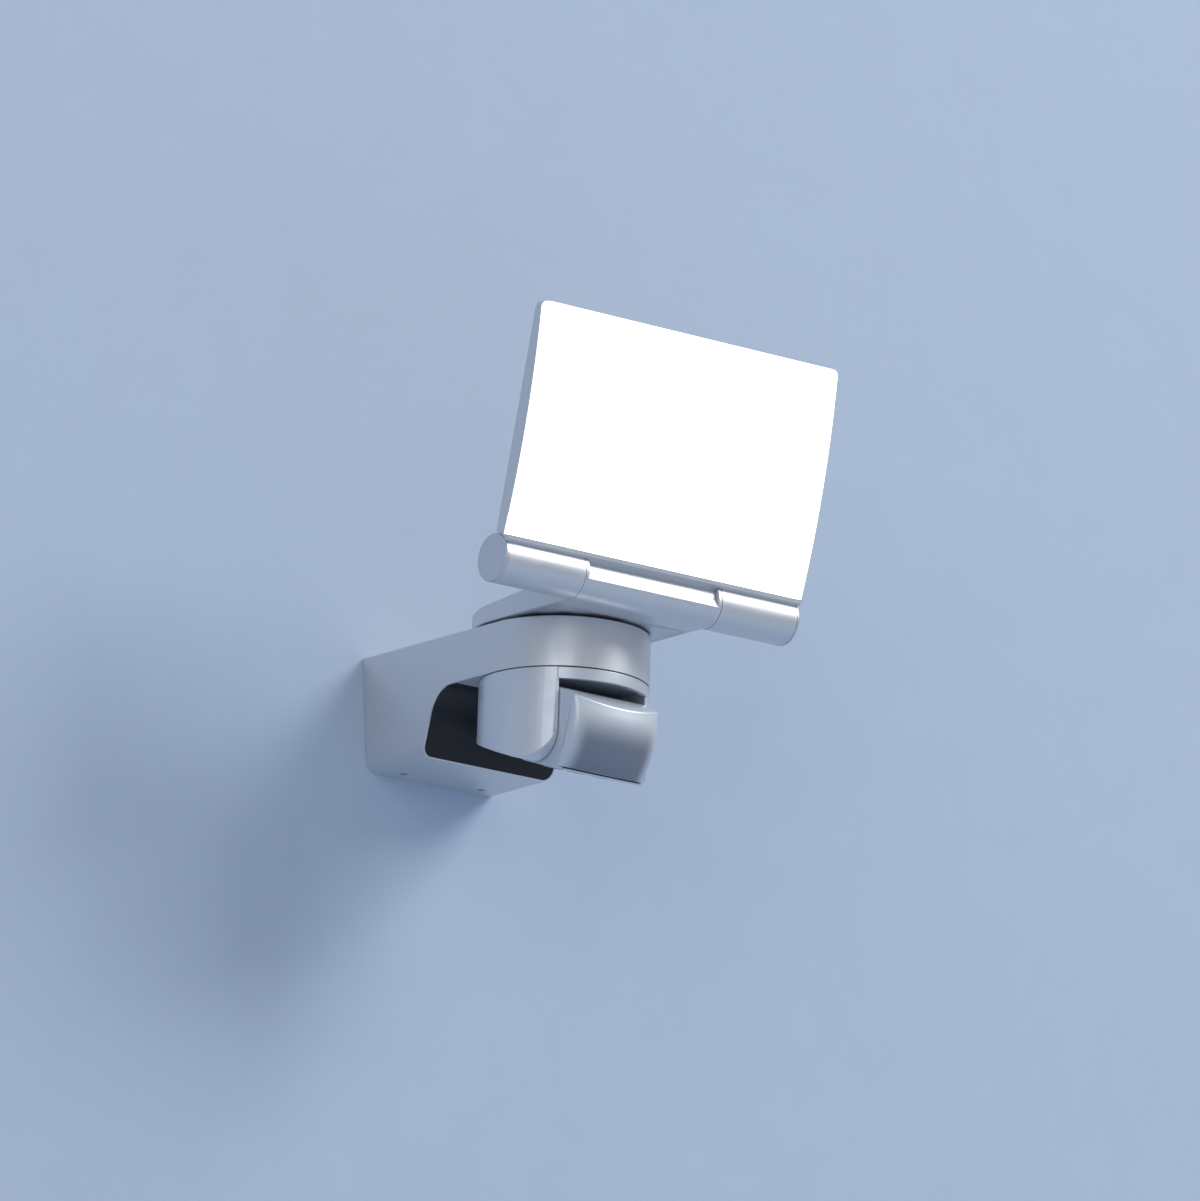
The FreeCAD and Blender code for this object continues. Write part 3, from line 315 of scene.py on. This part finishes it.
def make_finishes(settings):
    colours = settings.colours
    slot = SLOT_COLOUR
    return {
        "silver_cast": paint_with_flakes("Satin silver paint", colours.paint, 0.40),
        "silver_cap": brushed_paint("Brushed silver", slot["silver_cap"], 0.34),
        "silver_plastic": surface("Silver plastic", colours.plastic, 0.36, metallic=0.45, drift=0.025, grain=2200.0,
                                  depth=0.005 * MM, coat=0.15),
        # The sensor front's dark window is the lens colour at 0.48: partly the lens's own deeper grey, partly
        # painted reflection of the dark surroundings.
        "lens_grey": lens_plastic("Sensor front", colours.plastic, scaled(colours.lens, 0.48)[:3], 0.40),
        "opal_white": lit_panel("Lit opal panel", colours.light, settings.stage.glow),
        "black_cover": surface("Black satin plastic", colours.cover, 0.42, drift=0.20, grain=1100.0,
                               depth=0.006 * MM, gloss_drift=0.05, shine=0.22),
        "zinc_plate": surface("Zinc-plated sheet", slot["zinc_plate"], 0.38, metallic=0.9, drift=0.12, grain=700.0,
                              depth=0.003 * MM, gloss_drift=0.12),
        "steel": surface("Turned steel", slot["steel"], 0.30, metallic=1.0, drift=0.05, grain=2600.0,
                         depth=0.004 * MM, stretch=(0.06, 1, 1)),
        "rubber": surface("Black rubber", slot["rubber"], 0.62, drift=0.15, grain=2200.0, depth=0.02 * MM),
        "white_plastic": surface("White plastic", slot["white_plastic"], 0.42, drift=0.03, grain=1800.0,
                                 depth=0.010 * MM),
        "dark_plastic": surface("Dark plastic", slot["dark_plastic"], 0.45, drift=0.12, grain=2200.0,
                                depth=0.012 * MM),
        "dial_grey": surface("Dial grey", slot["dial_grey"], 0.42, drift=0.05, grain=2400.0, depth=0.010 * MM),
        "board_green": circuit_board("Green circuit board", slot["board_green"]),
        "board_white": surface("White circuit board", slot["board_white"], 0.35, drift=0.03, grain=700.0,
                               depth=0.008 * MM, stretch=(1, 0.1, 0.1)),
        "led_yellow": surface("Phosphor", slot["led_yellow"], 0.55, drift=0.08, grain=5000.0, depth=0.02 * MM),
    }


def finish_of(name):
    """The finish of a material slot, made on first use."""
    made = {material["slot"]: material for material in bpy.data.materials if "slot" in material}
    if not made:
        for slot, material in make_finishes(bpy.context.scene.floodlight).items():
            material["slot"] = slot
            made[slot] = material
    return made[name]


# Shaping.

def merged_copy(node):
    """A copy of a CAD node with its loose triangles merged into whole faces."""
    form = bmesh.new()
    form.from_mesh(NODES[node].data)
    bmesh.ops.remove_doubles(form, verts=form.verts, dist=0.001 * MM)
    bmesh.ops.dissolve_limit(form, angle_limit=math.radians(0.3), verts=form.verts, edges=form.edges)
    for face in form.faces:
        face.material_index = 0
    return form


def outer_edges(form, where, least=40.0):
    """The edges that turn outwards by more than an angle, and whose two ends pass a test."""
    return [edge for edge in form.edges if len(edge.link_faces) == 2 and edge.is_convex
            and edge.calc_face_angle(0.0) > math.radians(least) and where(edge.verts[0].co, edge.verts[1].co)]


def rounded(form, width, where=lambda first, second: True, segments=3, hold=False):
    chosen = outer_edges(form, where)
    if chosen:
        bmesh.ops.bevel(form, geom=chosen, offset=width, offset_type="OFFSET", segments=segments, profile=0.5,
                        affect="EDGES", material=-1, clamp_overlap=hold, loop_slide=True)
    return form


def piece(name, form, slot, body, nodes=()):
    """A finished piece of this form, which rides on its body and stands for the CAD nodes named."""
    mesh = bpy.data.meshes.new(name)
    form.to_mesh(mesh)
    form.free()
    old_normals = mesh.attributes.get("custom_normal")
    if old_normals:
        mesh.attributes.remove(old_normals)
    mesh.shade_smooth()
    mesh.set_sharp_from_angle(angle=math.radians(38))
    mesh.materials.clear()
    mesh.materials.append(finish_of(slot))
    item = bpy.data.objects.new(name, mesh)
    bpy.context.scene.collection.objects.link(item)
    weighted = item.modifiers.new("Weighted normals", "WEIGHTED_NORMAL")
    weighted.keep_sharp = True
    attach(item, body)
    if nodes:
        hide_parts(*nodes)
    return item


def dressed(node, form, name=None):
    """A piece that stands for one CAD node and keeps its body and slot."""
    return piece(name or node + "_piece", form, SLOT_OF[node], BODY_OF[node], [node])


def ring_of(form, radius, height, count, corner_radius=None):
    """A level ring of vertices; with a corner radius, a hexagon's outline."""
    made = bmesh.ops.create_circle(form, cap_ends=False, radius=radius, segments=count,
                                   matrix=Matrix.Translation((0, 0, height)))["verts"]
    if corner_radius:
        for vertex in made:
            turn = math.atan2(vertex.co.y, vertex.co.x) % (math.pi / 3)
            flat = corner_radius * math.cos(math.pi / 6) / math.cos(turn - math.pi / 6)
            vertex.co.xy = vertex.co.xy.normalized() * flat
    return list({edge for vertex in made for edge in vertex.link_edges})


def stack(form, rings, count=48):
    """Rings of (radius, height) or (radius, height, hexagon corner radius) joined, and closed at both ends."""
    loops = [ring_of(form, ring[0], ring[1], count, ring[2] if len(ring) > 2 else None) for ring in rings]
    for below, above in zip(loops, loops[1:]):
        bmesh.ops.bridge_loops(form, edges=below + above)
    for loop in (loops[0], loops[-1]):
        bmesh.ops.contextual_create(form, geom=loop)
    bmesh.ops.recalc_face_normals(form, faces=form.faces)
    return form


# Pieces.

def make_bracket(settings):
    sizes = settings.sizes
    low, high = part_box("housing")

    def on_top(first, second):
        level = min(first.z, second.z) > high.z - TOUCH
        return level and min((corner - PAN_AXIS).to_2d().length for corner in (first, second)) > 20 * MM

    form = merged_copy("housing")
    rounded(form, sizes.casting_edge, on_top)
    dressed("housing", form, "bracket_housing")
    dressed("recess_cover", rounded(merged_copy("recess_cover"), 0.25 * MM, segments=2), "recess_cover_panel")
    dressed("wall_plate", rounded(merged_copy("wall_plate"), 0.2 * MM, segments=2), "wall_plate_sheet")
    dressed("cable_grommet", rounded(merged_copy("cable_grommet"), 0.5 * MM), "grommet")
    screws = bmesh.new()
    for side in (-1, 1):
        screw = bmesh.new()
        stack(screw, [(1.3 * MM, -3.0 * MM), (1.8 * MM, -2.5 * MM), (1.8 * MM, -0.7 * MM), (1.6 * MM, -0.4 * MM),
                      (1.3 * MM, -0.4 * MM), (1.0 * MM, -0.4 * MM, 1.05 * MM), (1.0 * MM, -1.5 * MM, 1.05 * MM)])
        bmesh.ops.transform(screw, verts=screw.verts, matrix=Matrix.Translation((side * LUG_BESIDE, -LUG_OUT, low.z))
                            @ Matrix.Rotation(math.pi, 4, "X"))
        joined(screws, screw)
    piece("housing_screws", screws, "steel", "bracket")


def joined(whole, part):
    """Adds one form to another."""
    mesh = bpy.data.meshes.new("part")
    part.to_mesh(mesh)
    part.free()
    whole.from_mesh(mesh)
    bpy.data.meshes.remove(mesh)


def make_pan_head(settings):
    sizes = settings.sizes
    form = merged_copy("pan_head")

    def outside(first, second):
        return max((corner - HINGE).yz.length for corner in (first, second)) > 13 * MM

    rounded(form, 0.6 * MM, outside)
    rounded(form, sizes.fine_edge, segments=2, hold=True)
    dressed("pan_head", form, "pan_head_casting")
    dressed("pan_base", rounded(merged_copy("pan_base"), 0.2 * MM, segments=2), "pan_base_plate")


def make_lamp_head(settings):
    sizes = settings.sizes
    form = merged_copy("lamp_housing")

    def clear_of_hinge(first, second):
        high_up = min(first.z, second.z) > HINGE.z + 14 * MM
        return high_up or max(abs(first.x), abs(second.x)) < half - TOUCH and max(abs(first.x),
                                                                                   abs(second.x)) > 42.5 * MM

    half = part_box("end_caps")[1].x
    rounded(form, 0.4 * MM, clear_of_hinge)
    dressed("lamp_housing", form, "lamp_casting")
    form = merged_copy("diffuser")
    front = [edge for edge in outer_edges(form, lambda first, second: True)
             if sorted(face.normal.y < -0.85 for face in edge.link_faces) == [False, True]]
    bmesh.ops.bevel(form, geom=front, offset=sizes.panel_edge, offset_type="OFFSET", segments=4, profile=0.5,
                    affect="EDGES", material=-1, clamp_overlap=False)
    dressed("diffuser", form, "opal_panel")
    form = merged_copy("end_caps")
    rounded(form, 0.7 * MM, lambda first, second: min(abs(first.x), abs(second.x)) > half - TOUCH, 4)
    dressed("end_caps", form, "barrel_caps")


def make_sensor_mount():
    form = merged_copy("sensor_yoke")
    rounded(form, 0.5 * MM, lambda first, second: max(first.z, second.z) < 2 * MM and min(first.z, second.z) < MM)
    dressed("sensor_yoke", form, "sensor_yoke_moulding")
    form = merged_copy("front_band")
    rounded(form, 0.3 * MM, segments=2)
    dressed("front_band", form, "front_band_moulding")


def front_ahead(across, level, more=0.0):
    """How far ahead of the tilt axis the sensor's front stands, at a place across it and a level."""
    radius = FRONT_BOW - FRONT_ARCH + math.sqrt((FRONT_ARCH + more) ** 2 - level ** 2)
    return math.sqrt(radius ** 2 - across ** 2) - (FRONT_BOW - FRONT_REACH)


def corner_drop(across, level, corner):
    """How far the rounded upright corner falls back from the front, at a place across it and a level."""
    past = min(max(abs(across) - (HEAD_HALF - corner), 0.0), corner) / corner
    deep = min(corner, front_ahead(HEAD_HALF, level) - LENS_SEAM - CORNER_REST)
    return max(deep, 0.0) * (1 - math.sqrt(1 - past ** 2))


def brow_level(ahead):
    """The level of the sensor's top, which falls away to the front."""
    return HEAD_ROUND - BROW_RADIUS + math.sqrt(BROW_RADIUS ** 2 - (ahead - BROW_START) ** 2)


def front_point(column, row, edge, corner):
    """A point of the sensor's front. The column says how far across and from seam to front it is, and how far
    round the upright corner. The row says how far up the face it is, and how far round the top edge."""
    across, share, lean = column
    rise, turn = row

    def ahead(level):
        return LENS_SEAM + share * (front_ahead(across, level) - corner_drop(across, level, corner) - LENS_SEAM)

    top = 0.0
    for step in range(14):
        top = brow_level(ahead(top)) - edge
    if turn == 0:
        level = LENS_BOTTOM + rise * (top - LENS_BOTTOM)
        return Vector((across, -ahead(level), level))
    inset = edge * (1 - math.cos(turn))
    reach = ahead(top) - inset * math.cos(lean)
    return Vector((across - math.copysign(inset * math.sin(lean), across), -reach,
                   brow_level(reach) - edge * (1 - math.sin(turn))))


def front_form(edge, corner):
    """The sensor's front as a skin that is open at the back: curved face, rounded corners, sides, top, bottom."""
    quarter = math.pi / 2
    flat = HEAD_HALF - corner
    arc = [(flat + corner * math.sin(quarter * number / 6), 1.0, quarter * number / 6) for number in range(1, 7)]
    side = [(HEAD_HALF, number / 3, quarter) for number in (2, 1, 0)]
    face = [(flat * (number / 8 - 1), 1.0, 0.0) for number in range(17)]
    half = arc + side
    columns = [(-across, share, lean) for across, share, lean in reversed(half)] + face + half
    rows = [(number / 14, 0.0) for number in range(15)] + [(1.0, quarter * number / 5) for number in range(1, 6)]
    form = bmesh.new()
    across_count, up_count = len(columns) - 1, len(rows) - 1
    made = bmesh.ops.create_grid(form, x_segments=across_count, y_segments=up_count, size=1.0)["verts"]
    grid = {(round((vertex.co.x + 1) / 2 * across_count), round((vertex.co.y + 1) / 2 * up_count)): vertex
            for vertex in made}
    for (across, up), vertex in grid.items():
        vertex.co = front_point(columns[across], rows[up], edge, corner)
    for across in range(across_count // 2):
        corners = [grid[place, up_count] for place in (across, across + 1, across_count - across - 1,
                                                       across_count - across)]
        bmesh.ops.contextual_create(form, geom=list(dict.fromkeys(corners)))
    bmesh.ops.contextual_create(form, geom=[grid[across, 0] for across in range(across_count + 1)])
    form.normal_update()
    bmesh.ops.recalc_face_normals(form, faces=form.faces)
    if form.calc_volume(signed=True) < 0:
        bmesh.ops.reverse_faces(form, faces=form.faces)
    return form


def shape_front(form, more, corner):
    """Brings a form's banded front onto its true curve, with the front's rounded corners. The form is level."""
    def cut(place, along):
        bmesh.ops.bisect_plane(form, geom=form.verts[:] + form.edges[:] + form.faces[:], dist=0.0001 * MM,
                               plane_co=place, plane_no=along)

    for number in range(1, 7):
        past = HEAD_HALF - corner + corner * math.sin(math.pi / 2 * number / 6)
        for side in (-1, 1):
            cut((side * past, 0, 0), (1, 0, 0))
    for number in range(-8, 9):
        cut((2.9 * MM * number, 0, 0), (1, 0, 0))
    form.normal_update()
    chosen = set()
    for face in form.faces:
        centre = face.calc_center_median()
        near = abs(-centre.y - front_ahead(centre.x, centre.z, more)) < 0.5 * MM
        if near and face.normal.y < -0.6:
            chosen.update(face.verts)
    for vertex in chosen:
        place = vertex.co
        place.y = corner_drop(place.x, place.z, corner) - front_ahead(place.x, place.z, more)


def make_sensor_head(settings):
    sizes = settings.sizes
    to_level = HEAD_FRAME.inverted()
    form = front_form(sizes.head_edge, sizes.head_corner)
    bmesh.ops.transform(form, matrix=HEAD_FRAME, verts=form.verts)
    front = dressed("sensor_lens", form, "sensor_front")
    skin = front.modifiers.new("Skin", "SOLIDIFY")
    skin.thickness = LENS_SKIN
    skin.offset = -1.0
    front.modifiers.move(1, 0)

    form = merged_copy("head_shell")
    bmesh.ops.transform(form, matrix=to_level, verts=form.verts)

    def side_rim(first, second):
        beside = min(abs(first.x), abs(second.x)) > HEAD_HALF - TOUCH
        clear = min(corner.yz.length for corner in (first, second)) > 6 * MM
        behind = min(first.y, second.y) > -LENS_SEAM - TOUCH and max(first.y, second.y) > -LENS_SEAM + TOUCH
        return beside and clear and behind and max(first.z, second.z) > LENS_BOTTOM + 2 * MM

    rounded(form, sizes.head_edge, side_rim, 5)
    shape_front(form, 0.0, sizes.head_corner)
    bmesh.ops.transform(form, matrix=HEAD_FRAME, verts=form.verts)
    dressed("head_shell", form, "sensor_case")

    form = merged_copy("head_lid")
    bmesh.ops.transform(form, matrix=to_level, verts=form.verts)
    shape_front(form, LID_LIP, sizes.head_corner)
    bmesh.ops.transform(form, matrix=HEAD_FRAME, verts=form.verts)
    dressed("head_lid", form, "setting_lid")


def make_dials(settings):
    """The three setting dials, and the raised scale marks round each on the lid."""
    marks = bmesh.new()
    for joint, node in DIALS.items():
        form = merged_copy(DIALS["light_turn"])
        beside = Vector(JOINTS[joint]["pos_m"]) - Vector(JOINTS["light_turn"]["pos_m"])
        bmesh.ops.translate(form, verts=form.verts, vec=beside)
        rounded(form, 0.25 * MM, segments=2)
        bmesh.ops.transform(form, matrix=HEAD_FRAME.inverted(), verts=form.verts)
        foot = max(vertex.co.z for vertex in form.verts)
        for vertex in form.verts:
            vertex.co.z = foot + (vertex.co.z - foot) * settings.sizes.dial_share
        bmesh.ops.transform(form, matrix=HEAD_FRAME, verts=form.verts)
        dressed(node, form, node + "_knob")
        centre = HEAD_FRAME.inverted() @ Vector(JOINTS[joint]["pos_m"])
        lid_face = (HEAD_FRAME.inverted() @ (HEAD_PIVOT - HEAD_UP * 19.4 * MM)).z
        for number in range(7):
            turn = math.radians(-135 + 45 * number)
            length = (1.5 if number % 3 == 0 else 0.9) * MM
            made = bmesh.ops.create_cube(marks, size=1.0)["verts"]
            bmesh.ops.scale(marks, verts=made, vec=(0.35 * MM, length, 0.3 * MM))
            bmesh.ops.translate(marks, verts=made, vec=(0, -(5.1 * MM + length / 2), 0))
            bmesh.ops.rotate(marks, verts=made, cent=(0, 0, 0), matrix=Matrix.Rotation(turn, 3, "Z"))
            bmesh.ops.translate(marks, verts=made, vec=(centre.x, centre.y, lid_face))
    bmesh.ops.bevel(marks, geom=marks.edges[:], offset=0.05 * MM, offset_type="OFFSET", segments=1, profile=0.5,
                    affect="EDGES", material=-1, clamp_overlap=True)
    bmesh.ops.transform(marks, matrix=HEAD_FRAME, verts=marks.verts)
    piece("dial_marks", marks, "dial_grey", "sensor_head")


def finish_inner_parts():
    """Gives every CAD node that still shows its own finish."""
    for name, item in NODES.items():
        if item.hide_render:
            continue
        if not item.material_slots:
            item.data.materials.append(None)
        for place in item.material_slots:
            place.material = finish_of(SLOT_OF[name])


# Stage.

def plain_stage_material(name, colour):
    """A plain matt surface that isn't seen from behind."""
    material = surface(name, colour, 0.85, drift=0.01, grain=260.0, depth=0.05 * MM)
    tree = material.node_tree
    out = next(node for node in tree.nodes if node.type == "OUTPUT_MATERIAL")
    side = tree.nodes.new("ShaderNodeNewGeometry")
    clear = tree.nodes.new("ShaderNodeBsdfTransparent")
    mix = tree.nodes.new("ShaderNodeMixShader")
    tree.links.new(side.outputs["Backfacing"], mix.inputs[0])
    tree.links.new(tree.nodes["Principled BSDF"].outputs[0], mix.inputs[1])
    tree.links.new(clear.outputs[0], mix.inputs[2])
    tree.links.new(mix.outputs[0], out.inputs["Surface"])
    return material


def open_behind_bracket(form):
    """Opens the wall where the bracket covers it, so that the bracket's back gets light."""
    inside = 0.3 * MM
    low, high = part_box("housing")
    wall_side = [place.co for place in NODES["housing"].data.vertices if place.co.y > -TOUCH]
    for upright in (-1, 1):
        level = (high.z if upright > 0 else -low.z) - inside
        bmesh.ops.bisect_plane(form, geom=form.verts[:] + form.edges[:] + form.faces[:], dist=0.001 * MM,
                               plane_co=(0, 0, upright * level), plane_no=(0, 0, 1))
        bmesh.ops.bisect_plane(form, geom=form.verts[:] + form.edges[:] + form.faces[:], dist=0.001 * MM,
                               plane_co=(upright * (high.x - inside), 0, 0), plane_no=(1, 0, 0))
    foot = max(abs(place.x) for place in wall_side if place.z < low.z + TOUCH) - inside
    for vertex in form.verts:
        if vertex.co.to_2d().length < 2 * high.x and vertex.co.z < 0 and abs(vertex.co.z) < high.x:
            vertex.co.x = math.copysign(foot, vertex.co.x)
    middle = [face for face in form.faces if face.calc_center_median().xz.length < high.z]
    bmesh.ops.delete(form, geom=middle, context="FACES")


def stage_plane(name, half_wide, half_tall, place, material, change=None):
    form = bmesh.new()
    bmesh.ops.create_grid(form, x_segments=1, y_segments=1, size=1.0)
    bmesh.ops.scale(form, verts=form.verts, vec=(half_wide, half_tall, 1.0))
    bmesh.ops.transform(form, matrix=place, verts=form.verts)
    if change:
        change(form)
    mesh = bpy.data.meshes.new(name)
    form.to_mesh(mesh)
    form.free()
    mesh.materials.append(material)
    item = bpy.data.objects.new(name, mesh)
    bpy.context.scene.collection.objects.link(item)


def soft_lamp(name, power, size, place, target):
    lamp = bpy.data.lights.new(name, "AREA")
    lamp.energy = power
    lamp.size = size
    item = bpy.data.objects.new(name, lamp)
    bpy.context.scene.collection.objects.link(item)
    item.location = place
    item.rotation_euler = (Vector(target) - Vector(place)).to_track_quat("-Z", "Y").to_euler()


def make_stage(settings):
    stage = settings.stage
    material = plain_stage_material("Plain wall", stage.wall)
    wall_half, wall_up = 6.0, 5.0
    middle = (wall_up - stage.floor_drop) / 2
    stage_plane("wall", wall_half, (wall_up + stage.floor_drop) / 2,
                Matrix.Translation((0, 0.2 * MM, middle)) @ Matrix.Rotation(math.pi / 2, 4, "X"), material,
                open_behind_bracket)
    stage_plane("floor", wall_half, wall_half, Matrix.Translation((0, -wall_half, -stage.floor_drop)), material)
    middle_of_light = (0.0, -0.1, 0.05)
    soft_lamp("Main lamp", stage.key, 2.0, (2.7, -3.0, 2.9), middle_of_light)
    soft_lamp("Fill lamp", stage.fill, 3.0, (-3.2, -3.2, 1.2), middle_of_light)
    world = bpy.data.worlds.new("Even light")
    world.use_nodes = True
    sky = world.node_tree.nodes["Background"]
    sky.inputs["Color"].default_value = (0.87, 0.93, 1.0, 1.0)
    sky.inputs["Strength"].default_value = stage.sky
    bpy.context.scene.world = world
    bpy.context.scene.view_settings.view_transform = "Standard"


def make_camera():
    """The photograph's camera, turned and rolled as it was."""
    turn, rise, roll = CAMERA_AZIMUTH, CAMERA_ELEVATION, CAMERA_ROLL
    back = Vector((math.sin(turn) * math.cos(rise), -math.cos(turn) * math.cos(rise), math.sin(rise)))
    level = Vector((math.cos(turn), math.sin(turn), 0))
    upright = back.cross(level)
    right = math.cos(roll) * level + math.sin(roll) * upright
    up = math.cos(roll) * upright - math.sin(roll) * level
    view = bpy.data.cameras.new("Camera")
    view.sensor_width = SENSOR_WIDTH
    view.lens = FOCAL_PIXELS * SENSOR_WIDTH / IMAGE_LONG_SIDE
    view.clip_end = 100.0
    item = bpy.data.objects.new("Camera", view)
    bpy.context.scene.collection.objects.link(item)
    item.matrix_world = (Matrix.Translation(CAMERA_TARGET + back * CAMERA_DISTANCE)
                         @ Matrix((right, up, back)).transposed().to_4x4())
    bpy.context.scene.camera = item


# Operators.

class FLOODLIGHT_OT_bracket(bpy.types.Operator):
    """Make the wall bracket with its cover, plate, grommet and screws"""
    bl_idname = "floodlight.bracket"
    bl_label = "Wall bracket"
    bl_options = {"REGISTER", "UNDO"}

    def execute(self, context):
        make_bracket(context.scene.floodlight)
        return {"FINISHED"}


class FLOODLIGHT_OT_pan_head(bpy.types.Operator):
    """Make the pan head and its base plate"""
    bl_idname = "floodlight.pan_head"
    bl_label = "Pan head"
    bl_options = {"REGISTER", "UNDO"}

    def execute(self, context):
        make_pan_head(context.scene.floodlight)
        return {"FINISHED"}


class FLOODLIGHT_OT_lamp_head(bpy.types.Operator):
    """Make the lamp's casting, its opal panel and the barrel caps"""
    bl_idname = "floodlight.lamp_head"
    bl_label = "Lamp head"
    bl_options = {"REGISTER", "UNDO"}

    def execute(self, context):
        make_lamp_head(context.scene.floodlight)
        return {"FINISHED"}


class FLOODLIGHT_OT_sensor_mount(bpy.types.Operator):
    """Make the sensor's yoke and its front band"""
    bl_idname = "floodlight.sensor_mount"
    bl_label = "Sensor mount"
    bl_options = {"REGISTER", "UNDO"}

    def execute(self, context):
        make_sensor_mount()
        return {"FINISHED"}


class FLOODLIGHT_OT_sensor_head(bpy.types.Operator):
    """Make the sensor's front, case and lid"""
    bl_idname = "floodlight.sensor_head"
    bl_label = "Sensor head"
    bl_options = {"REGISTER", "UNDO"}

    def execute(self, context):
        make_sensor_head(context.scene.floodlight)
        return {"FINISHED"}


class FLOODLIGHT_OT_dials(bpy.types.Operator):
    """Make the three setting dials and their marks"""
    bl_idname = "floodlight.dials"
    bl_label = "Setting dials"
    bl_options = {"REGISTER", "UNDO"}

    def execute(self, context):
        make_dials(context.scene.floodlight)
        return {"FINISHED"}


class FLOODLIGHT_OT_inner_parts(bpy.types.Operator):
    """Finish the inner parts that keep their CAD shape"""
    bl_idname = "floodlight.inner_parts"
    bl_label = "Inner parts"
    bl_options = {"REGISTER", "UNDO"}

    def execute(self, context):
        finish_inner_parts()
        return {"FINISHED"}


class FLOODLIGHT_OT_stage(bpy.types.Operator):
    """Make the wall, the floor, the soft light and the camera"""
    bl_idname = "floodlight.stage"
    bl_label = "Stage"
    bl_options = {"REGISTER", "UNDO"}

    def execute(self, context):
        make_stage(context.scene.floodlight)
        make_camera()
        return {"FINISHED"}


MAKERS = (FLOODLIGHT_OT_bracket, FLOODLIGHT_OT_pan_head, FLOODLIGHT_OT_lamp_head, FLOODLIGHT_OT_sensor_mount,
          FLOODLIGHT_OT_sensor_head, FLOODLIGHT_OT_dials, FLOODLIGHT_OT_inner_parts, FLOODLIGHT_OT_stage)


class FLOODLIGHT_PT_panel(bpy.types.Panel):
    """The floodlight's settings and makers"""
    bl_idname = "FLOODLIGHT_PT_panel"
    bl_label = "Floodlight"
    bl_space_type = "VIEW_3D"
    bl_region_type = "UI"
    bl_category = "Floodlight"

    def draw(self, context):
        settings = context.scene.floodlight
        for group in (settings.colours, settings.sizes, settings.stage):
            box = self.layout.box()
            for name in group.bl_rna.properties.keys():
                if name not in ("rna_type", "name"):
                    box.prop(group, name)
        for maker in MAKERS:
            self.layout.operator(maker.bl_idname)


CLASSES = (FloodlightColours, FloodlightSizes, FloodlightStage, FloodlightSettings, *MAKERS, FLOODLIGHT_PT_panel)


def register():
    for item in CLASSES:
        bpy.utils.register_class(item)
    bpy.types.Scene.floodlight = PointerProperty(type=FloodlightSettings)


def unregister():
    del bpy.types.Scene.floodlight
    for item in reversed(CLASSES):
        bpy.utils.unregister_class(item)


def main():
    register()
    for maker in MAKERS:
        group, name = maker.bl_idname.split(".")
        getattr(getattr(bpy.ops, group), name)()


if __name__ == "__main__":
    main()
